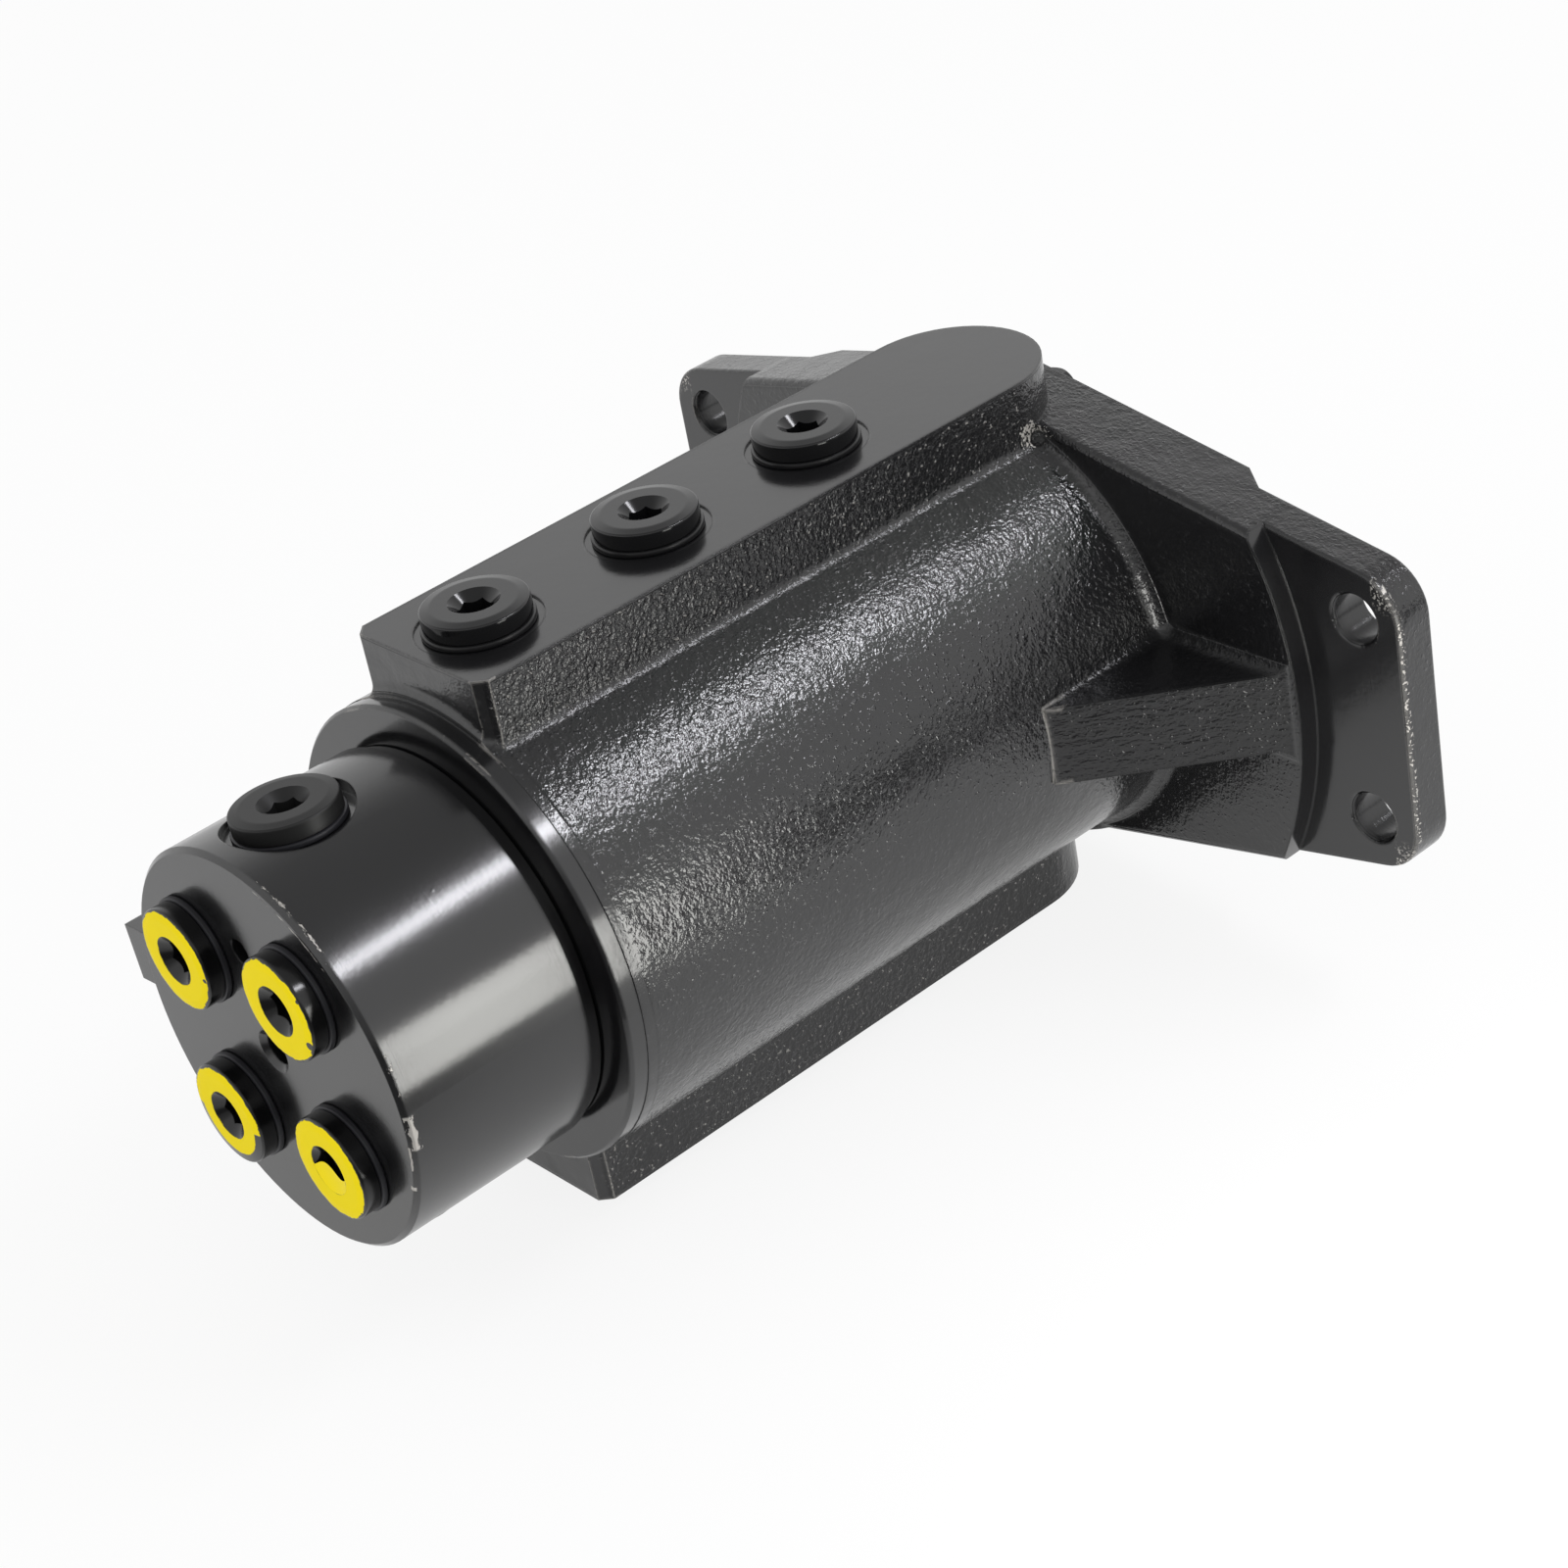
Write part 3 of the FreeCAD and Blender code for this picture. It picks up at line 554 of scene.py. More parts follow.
def ear_nicks(w, place, ragged):
    """Mask of the small nicks at the ears' corners and the fine bare line down their rims."""
    x, y, z = w.split(place)
    across, up = w.size(x), w.size(z)
    bend = w.reach(w.minus(across, EAR_CORNER[0]), w.minus(up, EAR_CORNER[1]))
    corner = w.times(w.fall(bend, 3.0 * MM, 10.0 * MM), w.rise(across, 0.1268, 0.1280))
    nicks = w.times(corner, w.rise(ragged, 0.55, 0.60))
    rim = w.times(w.rise(across, EAR_RIM, EAR_RIM + 0.3 * MM), w.fall(up, 0.0330, 0.0380))
    line = w.times(rim, w.rise(ragged, 0.58, 0.62))
    return w.times(w.most(nicks, line), w.fall(y, -0.0048, -0.0038))


def cast_paint(paint):
    """Black semi-gloss paint over sand-cast iron, smooth on the machined faces."""
    material, w, shader, place = new_finish("cast_iron_black_paint")
    x, y, z = w.split(place)
    holes = ear_holes(w, place)
    sides = boss_sides(w, place)
    gusset = gussets(w, place)
    near_end = w.fall(y, BOSS_END, BOSS_END + 0.8 * MM)
    roughness = w.plus(w.scaled(sides, 1.0, 2.2), w.times(near_end, -0.7), w.times(gusset, -0.4))
    cast = w.group("Cast skin", {"Place": place, "Roughness": roughness})
    coat = w.group("Paint skin", {"Place": place})
    marks = w.group("Turned marks", {"Radius": w.reach(x, z), "Along": y})
    handled = worn_places(w, place)
    width = w.scaled(gusset, 0.9 * MM, 2.2 * MM)
    edges = round_edges(w, place, width, w.plus(w.times(handled, 0.55), paint.wear))
    rim = w.times(w.span(y, -0.0118, 0.0105, 0.4 * MM), w.rise(w.reach(x, z), 0.1035, 0.1060))
    smooth = w.most(machined_zone(w, place, holes), w.times(rim, 0.3))

    drawn_out = w.joined(x, y, w.times(z, 3.0))
    ripples = w.times(w.noise(drawn_out, 200.0, 2.0, 0.6), gusset, 0.9)
    rough = w.times(w.plus(cast["Height"], ripples), w.rest(smooth))
    drilled = w.times(marks["Wall rings"], holes, 0.12)
    fine = w.plus(w.times(coat["Height"], 0.25), w.times(marks["Face rings"], 0.02), drilled)
    emboss(w, shader, w.plus(rough, w.times(fine, smooth)), paint.grain, edges["Normal"])

    ragged = w.noise(place, 1000.0, 1.0, 0.7)
    thin = w.times(edges["Worn"], handled, 0.9)
    worn = w.most(thin, pit_chips(w, place, ragged), ear_nicks(w, place, ragged))
    shade = w.blend(w.times(coat["Patches"], 0.5), opaque(paint.black), toned(paint.black, 1.5))
    # Painted sparkle: the grains are lightened in the colour, standing in for glints off the grain
    # tips.
    painted_sparkle = w.times(cast["Grains"], w.rest(w.most(smooth, gusset)), 0.5)
    shade = w.blend(painted_sparkle, shade, toned(paint.black, 5.0))
    # Painted glints: the grain tips on the boss sides take a grey from the bare-metal colour, as
    # painted highlights.
    tips = w.rise(cast["Grains"], 0.45, 0.95)
    painted_glints = w.times(tips, sides, w.rest(w.most(smooth, near_end)), 0.55)
    shade = w.blend(painted_glints, shade, toned(paint.bare, 0.6))
    w.feed(shader["Base Color"], w.blend(worn, shade, opaque(paint.bare)))
    gloss = w.scaled(coat["Patches"], 0.10, 0.20)
    w.feed(shader["Roughness"], w.plus(gloss, w.times(worn, 0.25)))
    w.feed(shader["Metallic"], w.times(worn, 0.6))
    duller = w.plus(w.times(gusset, 0.3), w.times(sides, 0.2))
    w.feed(shader["Specular IOR Level"], w.minus(0.8, duller))
    return material


def rim_chips(w, place):
    """Mask of the paint broken off the rim of the shaft's end, told apart by the angle round it."""
    x, y, z = w.split(place)
    radius = w.reach(x, z)
    turn = w.math("ARCTAN2", z, x)
    drawn = w.joined(w.times(turn, 0.020), y, radius)
    flakes = w.minus(w.noise(drawn, 1000.0, 3.0, 0.75), 0.5)
    gaps = w.rise(w.noise(drawn, 420.0, 2.0, 0.6), 0.44, 0.50)

    def from_ring(ring_radius, along):
        return w.reach(w.minus(radius, ring_radius), w.minus(y, along))

    def ragged(distance, amount, low, high):
        return w.fall(w.minus(distance, w.times(flakes, amount * MM)), low * MM, high * MM)

    corner = from_ring(SHAFT_RADIUS, RIM_CORNER)
    edge = from_ring(FACE_RADIUS, SHAFT_FACE)
    inner = from_ring(FACE_RADIUS - 1.0 * MM, SHAFT_FACE)
    thin_lines = w.most(ragged(corner, 3.6, 0.1, 0.2), ragged(inner, 2.0, 0.1, 0.2))
    upper = w.times(w.span(turn, 0.82, 1.31, 0.03), thin_lines)
    streaks = w.times(w.span(turn, 0.15, 0.34, 0.02), ragged(corner, 4.0, 0.0, 0.2))
    big = w.times(w.span(turn, -0.115, 0.045, 0.015), ragged(corner, 5.5, 0.9, 1.1))
    line = w.times(w.span(turn, -0.24, -0.11, 0.01), ragged(edge, 1.2, 0.2, 0.3))
    speck = w.times(w.span(turn, -0.375, -0.355, 0.004), w.fall(edge, 0.7 * MM, 0.9 * MM))
    broken = w.rise(w.noise(place, 260.0, 3.0, 0.7), 0.56, 0.60)
    neck = w.times(w.fall(from_ring(SHAFT_RADIUS, NECK), 0.2 * MM, 0.4 * MM), broken, 0.5)
    return w.most(w.times(w.most(upper, streaks), gaps), big, line, speck, neck)


def shaft_paint(paint):
    """Thin black satin paint over turned steel, chipped to bare metal at the rim."""
    material, w, shader, place = new_finish("machined_black_paint")
    x, y, z = w.split(place)
    coat = w.group("Paint skin", {"Place": place})
    marks = w.group("Turned marks", {"Radius": w.reach(x, z), "Along": y})
    bare = rim_chips(w, place)
    shade = w.blend(w.times(coat["Patches"], 0.5), opaque(paint.black), toned(paint.black, 1.4))
    w.feed(shader["Base Color"], w.blend(bare, shade, opaque(paint.bare)))
    gloss = w.scaled(coat["Patches"], 0.13, 0.20)
    w.feed(shader["Roughness"], w.plus(gloss, w.times(bare, 0.25)))
    w.feed(shader["Metallic"], w.times(bare, 0.7))
    w.feed(shader["Specular IOR Level"], 0.8)
    walls = w.times(marks["Wall rings"], w.rise(y, FACE_START, FACE_START + 0.5 * MM), 0.03)
    rings = w.times(marks["Face rings"], w.fall(y, FACE_START, FACE_START + 0.5 * MM), 0.02)
    drawn = w.joined(x, w.times(y, 1.5), z)
    coarse = w.times(w.noise(drawn, 520.0, 1.0, 0.6), 0.035)
    grain = w.times(w.noise(place, 1400.0, 1.0, 0.5), 0.008)
    height = w.plus(w.times(coat["Height"], 0.16), coarse, grain, walls, rings)
    edges = round_edges(w, place, 0.6 * MM)
    emboss(w, shader, w.minus(height, w.times(bare, 0.4)), RELIEF, edges["Normal"])
    return material


def plug_paint(paint):
    """Glossy black of the port plugs."""
    material, w, shader, place = new_finish("port_plug_black")
    coat = w.group("Paint skin", {"Place": place})
    black = opaque(paint.plug_black)
    normal = w.tree.nodes.new("ShaderNodeTexCoord").outputs["Normal"]
    wall = w.fall(w.size(w.split(normal)[2]), 0.15, 0.5)
    w.feed(shader["Base Color"], w.blend(coat["Patches"], black, toned(paint.plug_black, 1.8)))
    gloss = w.scaled(coat["Patches"], 0.10, 0.18)
    w.feed(shader["Roughness"], w.plus(gloss, w.times(wall, -0.05)))
    w.feed(shader["Specular IOR Level"], w.scaled(wall, 0.5, 0.25))
    edges = round_edges(w, place, 0.15 * MM)
    emboss(w, shader, w.times(coat["Height"], 0.12), RELIEF, edges["Normal"])
    return material


def nearest_plug(w, place):
    """Distance from the middle line of the nearest face plug."""
    distances = []
    for node in FACE_PLUGS:
        middle = middle_of(node)
        distances.append(apart(w, place, middle.x, None, middle.z))
    return w.least(*distances)


def chipped_yellow(w, place, plug, ragged):
    """Mask of the places where the yellow paint is missing on single plugs."""
    bare = []
    for node, across, up, size in (
        ("face_plug_1", 12.2, -1.2, 0.6),
        ("face_plug_2", 11.2, -5.4, 1.2),
        ("face_plug_2", 10.8, 6.6, 0.5),
        ("face_plug_4", 9.6, -9.0, 0.6),
    ):
        middle, size = middle_of(node), size * MM
        away = apart(w, place, middle.x + across * MM, None, middle.z + up * MM)
        bare.append(w.fall(w.plus(away, w.times(ragged, size)), size * 1.4, size * 1.6))
    middle = middle_of("face_plug_3")
    away = apart(w, place, middle.x, None, middle.z)
    start = plug.flat_radius - 0.4 * MM
    ring = w.rise(w.minus(away, w.times(ragged, 0.8 * MM)), start, start + 0.2 * MM)
    below = w.fall(w.minus(w.split(place)[2], middle.z), -1.2 * MM, -0.8 * MM)
    near = w.fall(away, plug.washer_radius, plug.washer_radius + 0.2 * MM)
    return w.most(w.times(ring, below, near), *bare)


def yellow_plug_paint(paint, plug):
    """Glossy black plug whose face is marked with brushed yellow paint."""
    material, w, shader, place = new_finish("face_plug_yellow_paint")
    distance = nearest_plug(w, place)
    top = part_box(FACE_PLUGS[0])[0].y
    coat = w.group("Paint skin", {"Place": place})
    ragged = w.noise(place, 300.0, 3.0, 0.65)
    soft = 0.1 * MM
    edge = w.plus(plug.head_radius - 1.5 * MM, w.times(ragged, 1.8 * MM))
    on_face = w.fall(w.minus(distance, edge), -soft, soft)
    inner = w.plus(plug.cone_radius - 0.3 * MM, w.times(ragged, 0.6 * MM))
    outside_socket = w.rise(w.minus(distance, inner), -soft, soft)
    height = w.fall(w.split(place)[1], top + 1.6 * MM, top + 2.2 * MM)
    whole = w.rest(chipped_yellow(w, place, plug, ragged))
    marked = w.times(on_face, outside_socket, height, whole)
    thin = w.times(marked, w.scaled(w.noise(place, 90.0, 3.0, 0.6), 0.93, 1.0))
    w.feed(shader["Base Color"], w.blend(thin, opaque(paint.plug_black), opaque(paint.yellow)))
    gloss = w.scaled(coat["Patches"], 0.12, 0.20)
    w.feed(shader["Roughness"], w.plus(gloss, w.times(marked, 0.36)))
    w.feed(shader["Specular IOR Level"], w.scaled(marked, 0.5, 0.08))
    brushed = w.plus(w.times(coat["Height"], 0.14), w.times(marked, 0.35))
    emboss(w, shader, brushed, RELIEF, round_edges(w, place, 0.3 * MM)["Normal"])
    return material


def film_paint(paint):
    """Yellow paint where it dried as a skin across the mouth of a socket."""
    material, w, shader, place = new_finish("yellow_film")
    w.feed(shader["Base Color"], opaque(paint.yellow))
    w.feed(shader["Roughness"], w.scaled(w.noise(place, 60.0, 2.0, 0.5), 0.40, 0.55))
    w.feed(shader["Specular IOR Level"], 0.15)
    waves = w.noise(place, 500.0, 2.0, 0.6)
    emboss(w, shader, waves, 0.03 * MM, round_edges(w, place, 0.1 * MM)["Normal"])
    return material


def washer_paint(paint):
    """Black painted sealing washer."""
    material, w, shader, place = new_finish("washer_black_paint")
    coat = w.group("Paint skin", {"Place": place})
    black = opaque(paint.plug_black)
    w.feed(shader["Base Color"], w.blend(coat["Patches"], black, toned(paint.plug_black, 2.0)))
    w.feed(shader["Roughness"], w.scaled(coat["Patches"], 0.22, 0.36))
    edges = round_edges(w, place, 0.3 * MM)
    emboss(w, shader, w.times(coat["Height"], 0.2), RELIEF, edges["Normal"])
    return material


def bolt_paint(paint):
    """Black painted bolts, a little worn on their corners."""
    material, w, shader, place = new_finish("bolt_black")
    coat = w.group("Paint skin", {"Place": place})
    edges = round_edges(w, place, 0.4 * MM, 0.5)
    worn = w.times(edges["Worn"], 0.6)
    w.feed(shader["Base Color"], w.blend(worn, opaque(paint.black), opaque(paint.bare)))
    w.feed(shader["Metallic"], w.times(worn, 0.9))
    w.feed(shader["Roughness"], w.scaled(coat["Patches"], 0.28, 0.42))
    emboss(w, shader, w.times(coat["Height"], 0.25), RELIEF, edges["Normal"])
    return material


def seal_plastic():
    """Filled sealing plastic, bronze-brown with fine mould lines."""
    material, w, shader, place = new_finish("seal_plastic")
    speck = w.noise(place, 900.0, 3.0, 0.7)
    cloud = w.noise(place, 40.0, 2.0, 0.5)
    shade = w.blend(speck, (0.30, 0.19, 0.09, 1), (0.44, 0.30, 0.15, 1))
    w.feed(shader["Base Color"], w.blend(w.times(cloud, 0.4), shade, (0.26, 0.18, 0.10, 1)))
    w.feed(shader["Roughness"], w.scaled(cloud, 0.35, 0.5))
    emboss(w, shader, speck, 0.03 * MM, round_edges(w, place, 0.2 * MM)["Normal"])
    return material


def seal_rubber():
    """Oil-proof black rubber with a faint bloom."""
    material, w, shader, place = new_finish("seal_rubber")
    bloom = w.noise(place, 55.0, 4.0, 0.6)
    speck = w.noise(place, 700.0, 2.0, 0.6)
    dark, pale = (0.018, 0.018, 0.018, 1), (0.045, 0.044, 0.042, 1)
    w.feed(shader["Base Color"], w.blend(w.rise(bloom, 0.4, 0.8), dark, pale))
    w.feed(shader["Roughness"], w.scaled(bloom, 0.5, 0.68))
    emboss(w, shader, speck, 0.04 * MM, round_edges(w, place, 0.3 * MM)["Normal"])
    return material


def bare_steel():
    """Turned steel, oiled, with rings from the tool."""
    material, w, shader, place = new_finish("bare_steel")
    x, y, z = w.split(place)
    marks = w.group("Turned marks", {"Radius": w.reach(x, z), "Along": y})
    stain = w.noise(place, 60.0, 4.0, 0.6)
    steel, oily = (0.48, 0.47, 0.45, 1), (0.30, 0.26, 0.21, 1)
    w.feed(shader["Base Color"], w.blend(w.rise(stain, 0.45, 0.8), steel, oily))
    w.feed(shader["Roughness"], w.scaled(stain, 0.24, 0.42))
    shader["Metallic"].default_value = 1.0
    rings = w.plus(marks["Face rings"], marks["Wall rings"])
    emboss(w, shader, rings, 0.04 * MM, round_edges(w, place, 0.3 * MM)["Normal"])
    return material


def coat_nodes(names, material):
    """Give CAD pieces a finish in place of their plain one."""
    for name in names:
        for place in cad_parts[name].material_slots:
            place.material = material


def nodes_like(*starts):
    """Names of the CAD pieces whose name starts in one of the given ways."""
    return sorted(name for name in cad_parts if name.startswith(starts))


# Pieces

def settled(bm, name, body, material, stands_for):
    """Turn a finished bmesh into a piece that rides a body and stands for a CAD node."""
    bmesh.ops.remove_doubles(bm, verts=bm.verts, dist=1e-6)
    bmesh.ops.recalc_face_normals(bm, faces=bm.faces)
    for face in bm.faces:
        face.smooth = True
    for edge in bm.edges:
        edge.smooth = edge.calc_face_angle(0) < math.radians(32)
    mesh = bpy.data.meshes.new(name)
    bm.to_mesh(mesh)
    bm.free()
    mesh.materials.append(material)
    piece = bpy.data.objects.new(name, mesh)
    bpy.context.scene.collection.objects.link(piece)
    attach(piece, body)
    if stands_for:
        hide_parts(stands_for)
    return piece


def next_ring(bm, rim, radius, height):
    """Extrude an open rim to a new ring; radius and height may depend on the angle."""
    made = bmesh.ops.extrude_edge_only(bm, edges=rim)["geom"]
    fresh = {item for item in made if isinstance(item, bmesh.types.BMVert)}
    for vert in fresh:
        turn = math.atan2(vert.co.y, vert.co.x)
        r, h = radius(turn), height(turn)
        vert.co = Vector((r * math.cos(turn), r * math.sin(turn), h))
    edges = [item for item in made if isinstance(item, bmesh.types.BMEdge)]
    return [edge for edge in edges if set(edge.verts) <= fresh]


def hexagon_radius(across_flats, turn):
    """Distance from the middle to a hexagon's wall in the direction of an angle."""
    side = math.radians(60)
    return across_flats / 2 / math.cos((turn % side) - side / 2)


def plug_shape(plug):
    """Hollow-hex plug with its axis on Z and the top of its head at height zero."""
    bm = bmesh.new()
    floor = -plug.socket_depth

    def socket(turn):
        return hexagon_radius(plug.hexagon, turn)

    def on_cone(turn):
        return socket(turn) - plug.cone_radius

    bmesh.ops.create_circle(bm, cap_ends=True, radius=plug.hexagon / 2, segments=plug.segments)
    for vert in bm.verts:
        turn = math.atan2(vert.co.y, vert.co.x)
        vert.co = Vector((math.cos(turn), math.sin(turn), 0)) * socket(turn)
        vert.co.z = floor
    rim = next_ring(bm, list(bm.edges), socket, on_cone)
    shoulder = plug.head_radius - plug.edge_round
    slope = plug.slope_drop / (shoulder - plug.flat_radius)
    soft = 0.2 * MM
    turned = [
        (plug.cone_radius, 0.0),
        (plug.cone_radius + soft, 0.0),
        (plug.flat_radius - 2 * soft, 0.0),
        (plug.flat_radius - soft, 0.0),
        (plug.flat_radius + soft, -slope * soft),
        (plug.flat_radius + 2 * soft, -slope * 2 * soft),
        (shoulder - soft, -slope * (shoulder - soft - plug.flat_radius)),
    ]
    for step in range(7):
        turn = math.radians(15 * step)
        reach = shoulder + plug.edge_round * math.sin(turn)
        drop = plug.slope_drop + plug.edge_round * (1 - math.cos(turn))
        turned.append((reach, -drop))
    under = -plug.head_height
    chamfer = 0.3 * MM
    turned.append((plug.head_radius, -plug.slope_drop - plug.edge_round - chamfer))
    end = under - plug.shank_length
    turned += [
        (plug.head_radius, under + chamfer),
        (plug.head_radius - chamfer, under),
        (plug.shank_radius, under),
        (plug.shank_radius, end + 4 * chamfer),
        (plug.shank_radius - 4 * chamfer, end),
    ]
    for radius, height in turned:
        rim = next_ring(bm, rim, lambda turn: radius, lambda turn: height)
    bmesh.ops.contextual_create(bm, geom=rim)
    return bm


def film_shape(plug):
    """Skin of paint across the lower half of a socket's mouth, in the plane of the plug's face."""
    bm = bmesh.new()
    bmesh.ops.create_grid(bm, x_segments=36, y_segments=14, size=1.0)
    reach = plug.cone_radius + 0.05 * MM
    for vert in bm.verts:
        across = reach * vert.co.x
        bottom = -math.sqrt(max(reach * reach - across * across, 0.0))
        wave = math.cos(math.tau * (across + 2.4 * MM) / (11.5 * MM))
        top = max(bottom, -0.35 * MM + 1.2 * MM * wave)
        up = bottom + (vert.co.y + 1) / 2 * (top - bottom)
        share = (across * across + up * up) / (reach * reach)
        vert.co = Vector((across, up, -0.9 * MM * (1 - share)))
    return bm


def washer_shape(plug, thickness):
    """Sealing washer with its axis on Z, standing on height zero, its edges rounded."""
    bm = bmesh.new()
    soft = 0.35 * MM
    inner, outer = plug.washer_bore, plug.washer_radius
    corners = [
        (inner, 0), (outer - soft, 0), (outer, soft), (outer, thickness - soft),
        (outer - 0.3 * soft, thickness - 0.3 * soft), (outer - soft, thickness), (inner, thickness),
    ]
    verts = [bm.verts.new((radius, 0, height)) for radius, height in corners]
    edges = [bm.edges.new((a, b)) for a, b in zip(verts, verts[1:] + verts[:1])]
    bmesh.ops.spin(
        bm, geom=verts + edges, cent=(0, 0, 0), axis=UP, dvec=(0, 0, 0),
        angle=math.tau, steps=plug.segments, use_merge=True, use_duplicate=False,
    )
    return bm


def stand(bm, top, direction, spin):
    """Set a shape drawn along +Z with its zero height at a point, facing a direction."""
    turn = UP.rotation_difference(direction).to_matrix().to_4x4()
    place = Matrix.Translation(top) @ turn @ Matrix.Rotation(spin, 4, "Z")
    bmesh.ops.transform(bm, matrix=place, verts=bm.verts)


def end_of(node, direction):
    """Middle of the end face of a CAD piece, on the side that a direction points to."""
    low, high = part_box(node)
    reach = (high - low) / 2
    strongest = max(range(3), key=lambda axis: abs(direction[axis]))
    point = middle_of(node)
    point[strongest] += math.copysign(reach[strongest], direction[strongest])
    return point


def make_plug(plug, node, body, direction, spin, material):
    """One plug in place of its CAD node."""
    bm = plug_shape(plug)
    stand(bm, end_of(node, direction), direction, spin)
    return settled(bm, node + "_finished", body, material, node)


def make_washer(plug, node, body, direction, material):
    """One sealing washer in place of its CAD node."""
    bm = washer_shape(plug, WASHER_THICKNESS)
    stand(bm, end_of(node, direction) - direction * WASHER_THICKNESS, direction, 0.0)
    return settled(bm, node + "_finished", body, material, node)


def tilted(direction):
    """A direction on the shaft as it stands at rest."""
    return Matrix.Rotation(SHAFT_TURN, 3, "Y") @ direction


def side_plug_top(side):
    """Middle of the head of the upper (1) or lower (-1) side plug."""
    along = middle_of("side_plug_top").y
    return tilted(Vector((0, along, SIDE_PLUG_TOP * side)))


# Operators

class SWIVEL_OT_paint_housing(bpy.types.Operator):
    """Paint the housing casting, rough where it is cast and smooth where it is machined"""

    bl_idname = "swivel.paint_housing"
    bl_label = "Paint the housing"

    def execute(self, context):
        coat_nodes(["housing_casting"], cast_paint(context.scene.swivel_paint))
        return {"FINISHED"}


class SWIVEL_OT_paint_shaft(bpy.types.Operator):
    """Paint the swivel shaft, its lug and the end cover"""

    bl_idname = "swivel.paint_shaft"
    bl_label = "Paint the shaft"

    def execute(self, context):
        paint = context.scene.swivel_paint
        coat_nodes(["swivel_shaft", "anti_rotation_lug", "end_cover"], shaft_paint(paint))
        return {"FINISHED"}


class SWIVEL_OT_make_port_plugs(bpy.types.Operator):
    """Make the black plugs above and below the housing, with their washers"""

    bl_idname = "swivel.make_port_plugs"
    bl_label = "Make the port plugs"

    def execute(self, context):
        plug = context.scene.swivel_plug
        paint = context.scene.swivel_paint
        gloss, washer = plug_paint(paint), washer_paint(paint)
        for word, direction in (("top", UP), ("bottom", -UP)):
            for number in (1, 2, 3):
                node = f"{word}_port_plug_{number}"
                ring = f"{word}_port_washer_{number}"
                spin = math.radians(17 * (number - 1))
                make_plug(plug, node, HOUSING, direction, spin, gloss)
                make_washer(plug, ring, HOUSING, direction, washer)
        return {"FINISHED"}


class SWIVEL_OT_make_shaft_plugs(bpy.types.Operator):
    """Make the yellow-faced plugs in the shaft's end and the plugs in its sides"""

    bl_idname = "swivel.make_shaft_plugs"
    bl_label = "Make the shaft plugs"

    def execute(self, context):
        plug = context.scene.swivel_plug
        paint = context.scene.swivel_paint
        yellow = yellow_plug_paint(paint, plug)
        gloss = bpy.data.materials["port_plug_black"]
        washer = bpy.data.materials["washer_black_paint"]
        for number, node in enumerate(FACE_PLUGS, 1):
            ring = f"face_plug_washer_{number}"
            spin = math.radians(23 * number)
            make_plug(plug, node, SHAFT, NEAR, spin, yellow)
            make_washer(plug, ring, SHAFT, NEAR, washer)
        bm = film_shape(plug)
        upright = Matrix.Rotation(math.radians(90), 4, "X")
        place = Matrix.Translation(end_of("face_plug_4", NEAR)) @ upright
        bmesh.ops.transform(bm, matrix=place, verts=bm.verts)
        name, slot_name = "face_plug_4_paint_film", "face_plug_yellow_paint"
        settled(bm, name, SHAFT, film_paint(paint), None)
        for word, side in (("top", 1), ("bottom", -1)):
            direction = tilted(UP * side)
            head = side_plug_top(side)
            bm = plug_shape(plug)
            stand(bm, head, direction, 0.0)
            name = f"side_plug_{word}"
            settled(bm, name + "_finished", SHAFT, gloss, name)
            bm = washer_shape(plug, WASHER_THICKNESS)
            under = plug.head_height + WASHER_THICKNESS
            stand(bm, head - direction * under, direction, 0.0)
            name = f"side_plug_washer_{word}"
            settled(bm, name + "_finished", SHAFT, washer, name)
        return {"FINISHED"}


class SWIVEL_OT_finish_inside(bpy.types.Operator):
    """Finish the seals, bearings and steel parts inside, and the cover's bolts"""

    bl_idname = "swivel.finish_inside"
    bl_label = "Finish seals and bolts"

    def execute(self, context):
        paint = context.scene.swivel_paint
        plastic = ("slipper_ring", "near_wear_ring", "far_wear_ring", "thrust_washer")
        coat_nodes(nodes_like(*plastic), seal_plastic())
        coat_nodes(nodes_like("energiser_ring", "dust_seal", "cover_seal_ring"), seal_rubber())
        coat_nodes(nodes_like("cover_bolts", "cover_spring_washers"), bolt_paint(paint))
        coat_nodes(nodes_like("retaining", "gallery_plug"), bare_steel())
        return {"FINISHED"}


def lamp(name, place, target, size, power, colour):
    """Square-cut soft lamp that points at a target and isn't seen by the camera."""
    light = bpy.data.lights.new(name, "AREA")
    light.shape = "RECTANGLE"
    light.size, light.size_y = size
    light.energy = power
    light.color = colour
    made = bpy.data.objects.new(name, light)
    bpy.context.scene.collection.objects.link(made)
    aim = (Vector(target) - Vector(place)).to_track_quat("-Z", "Y")
    made.matrix_world = Matrix.Translation(place) @ aim.to_matrix().to_4x4()
    made.visible_camera = False
    return made


def toward_camera_side(w, place):
    """How far a place, or a direction, lies toward the camera's side of the stage, where
    reflections see a dimmer sky and a floor painted dark as painted shade.
    """
    x, y, z = w.split(place)
    return w.plus(w.times(x, CAMERA_SIDE[0]), w.times(y, CAMERA_SIDE[1]))


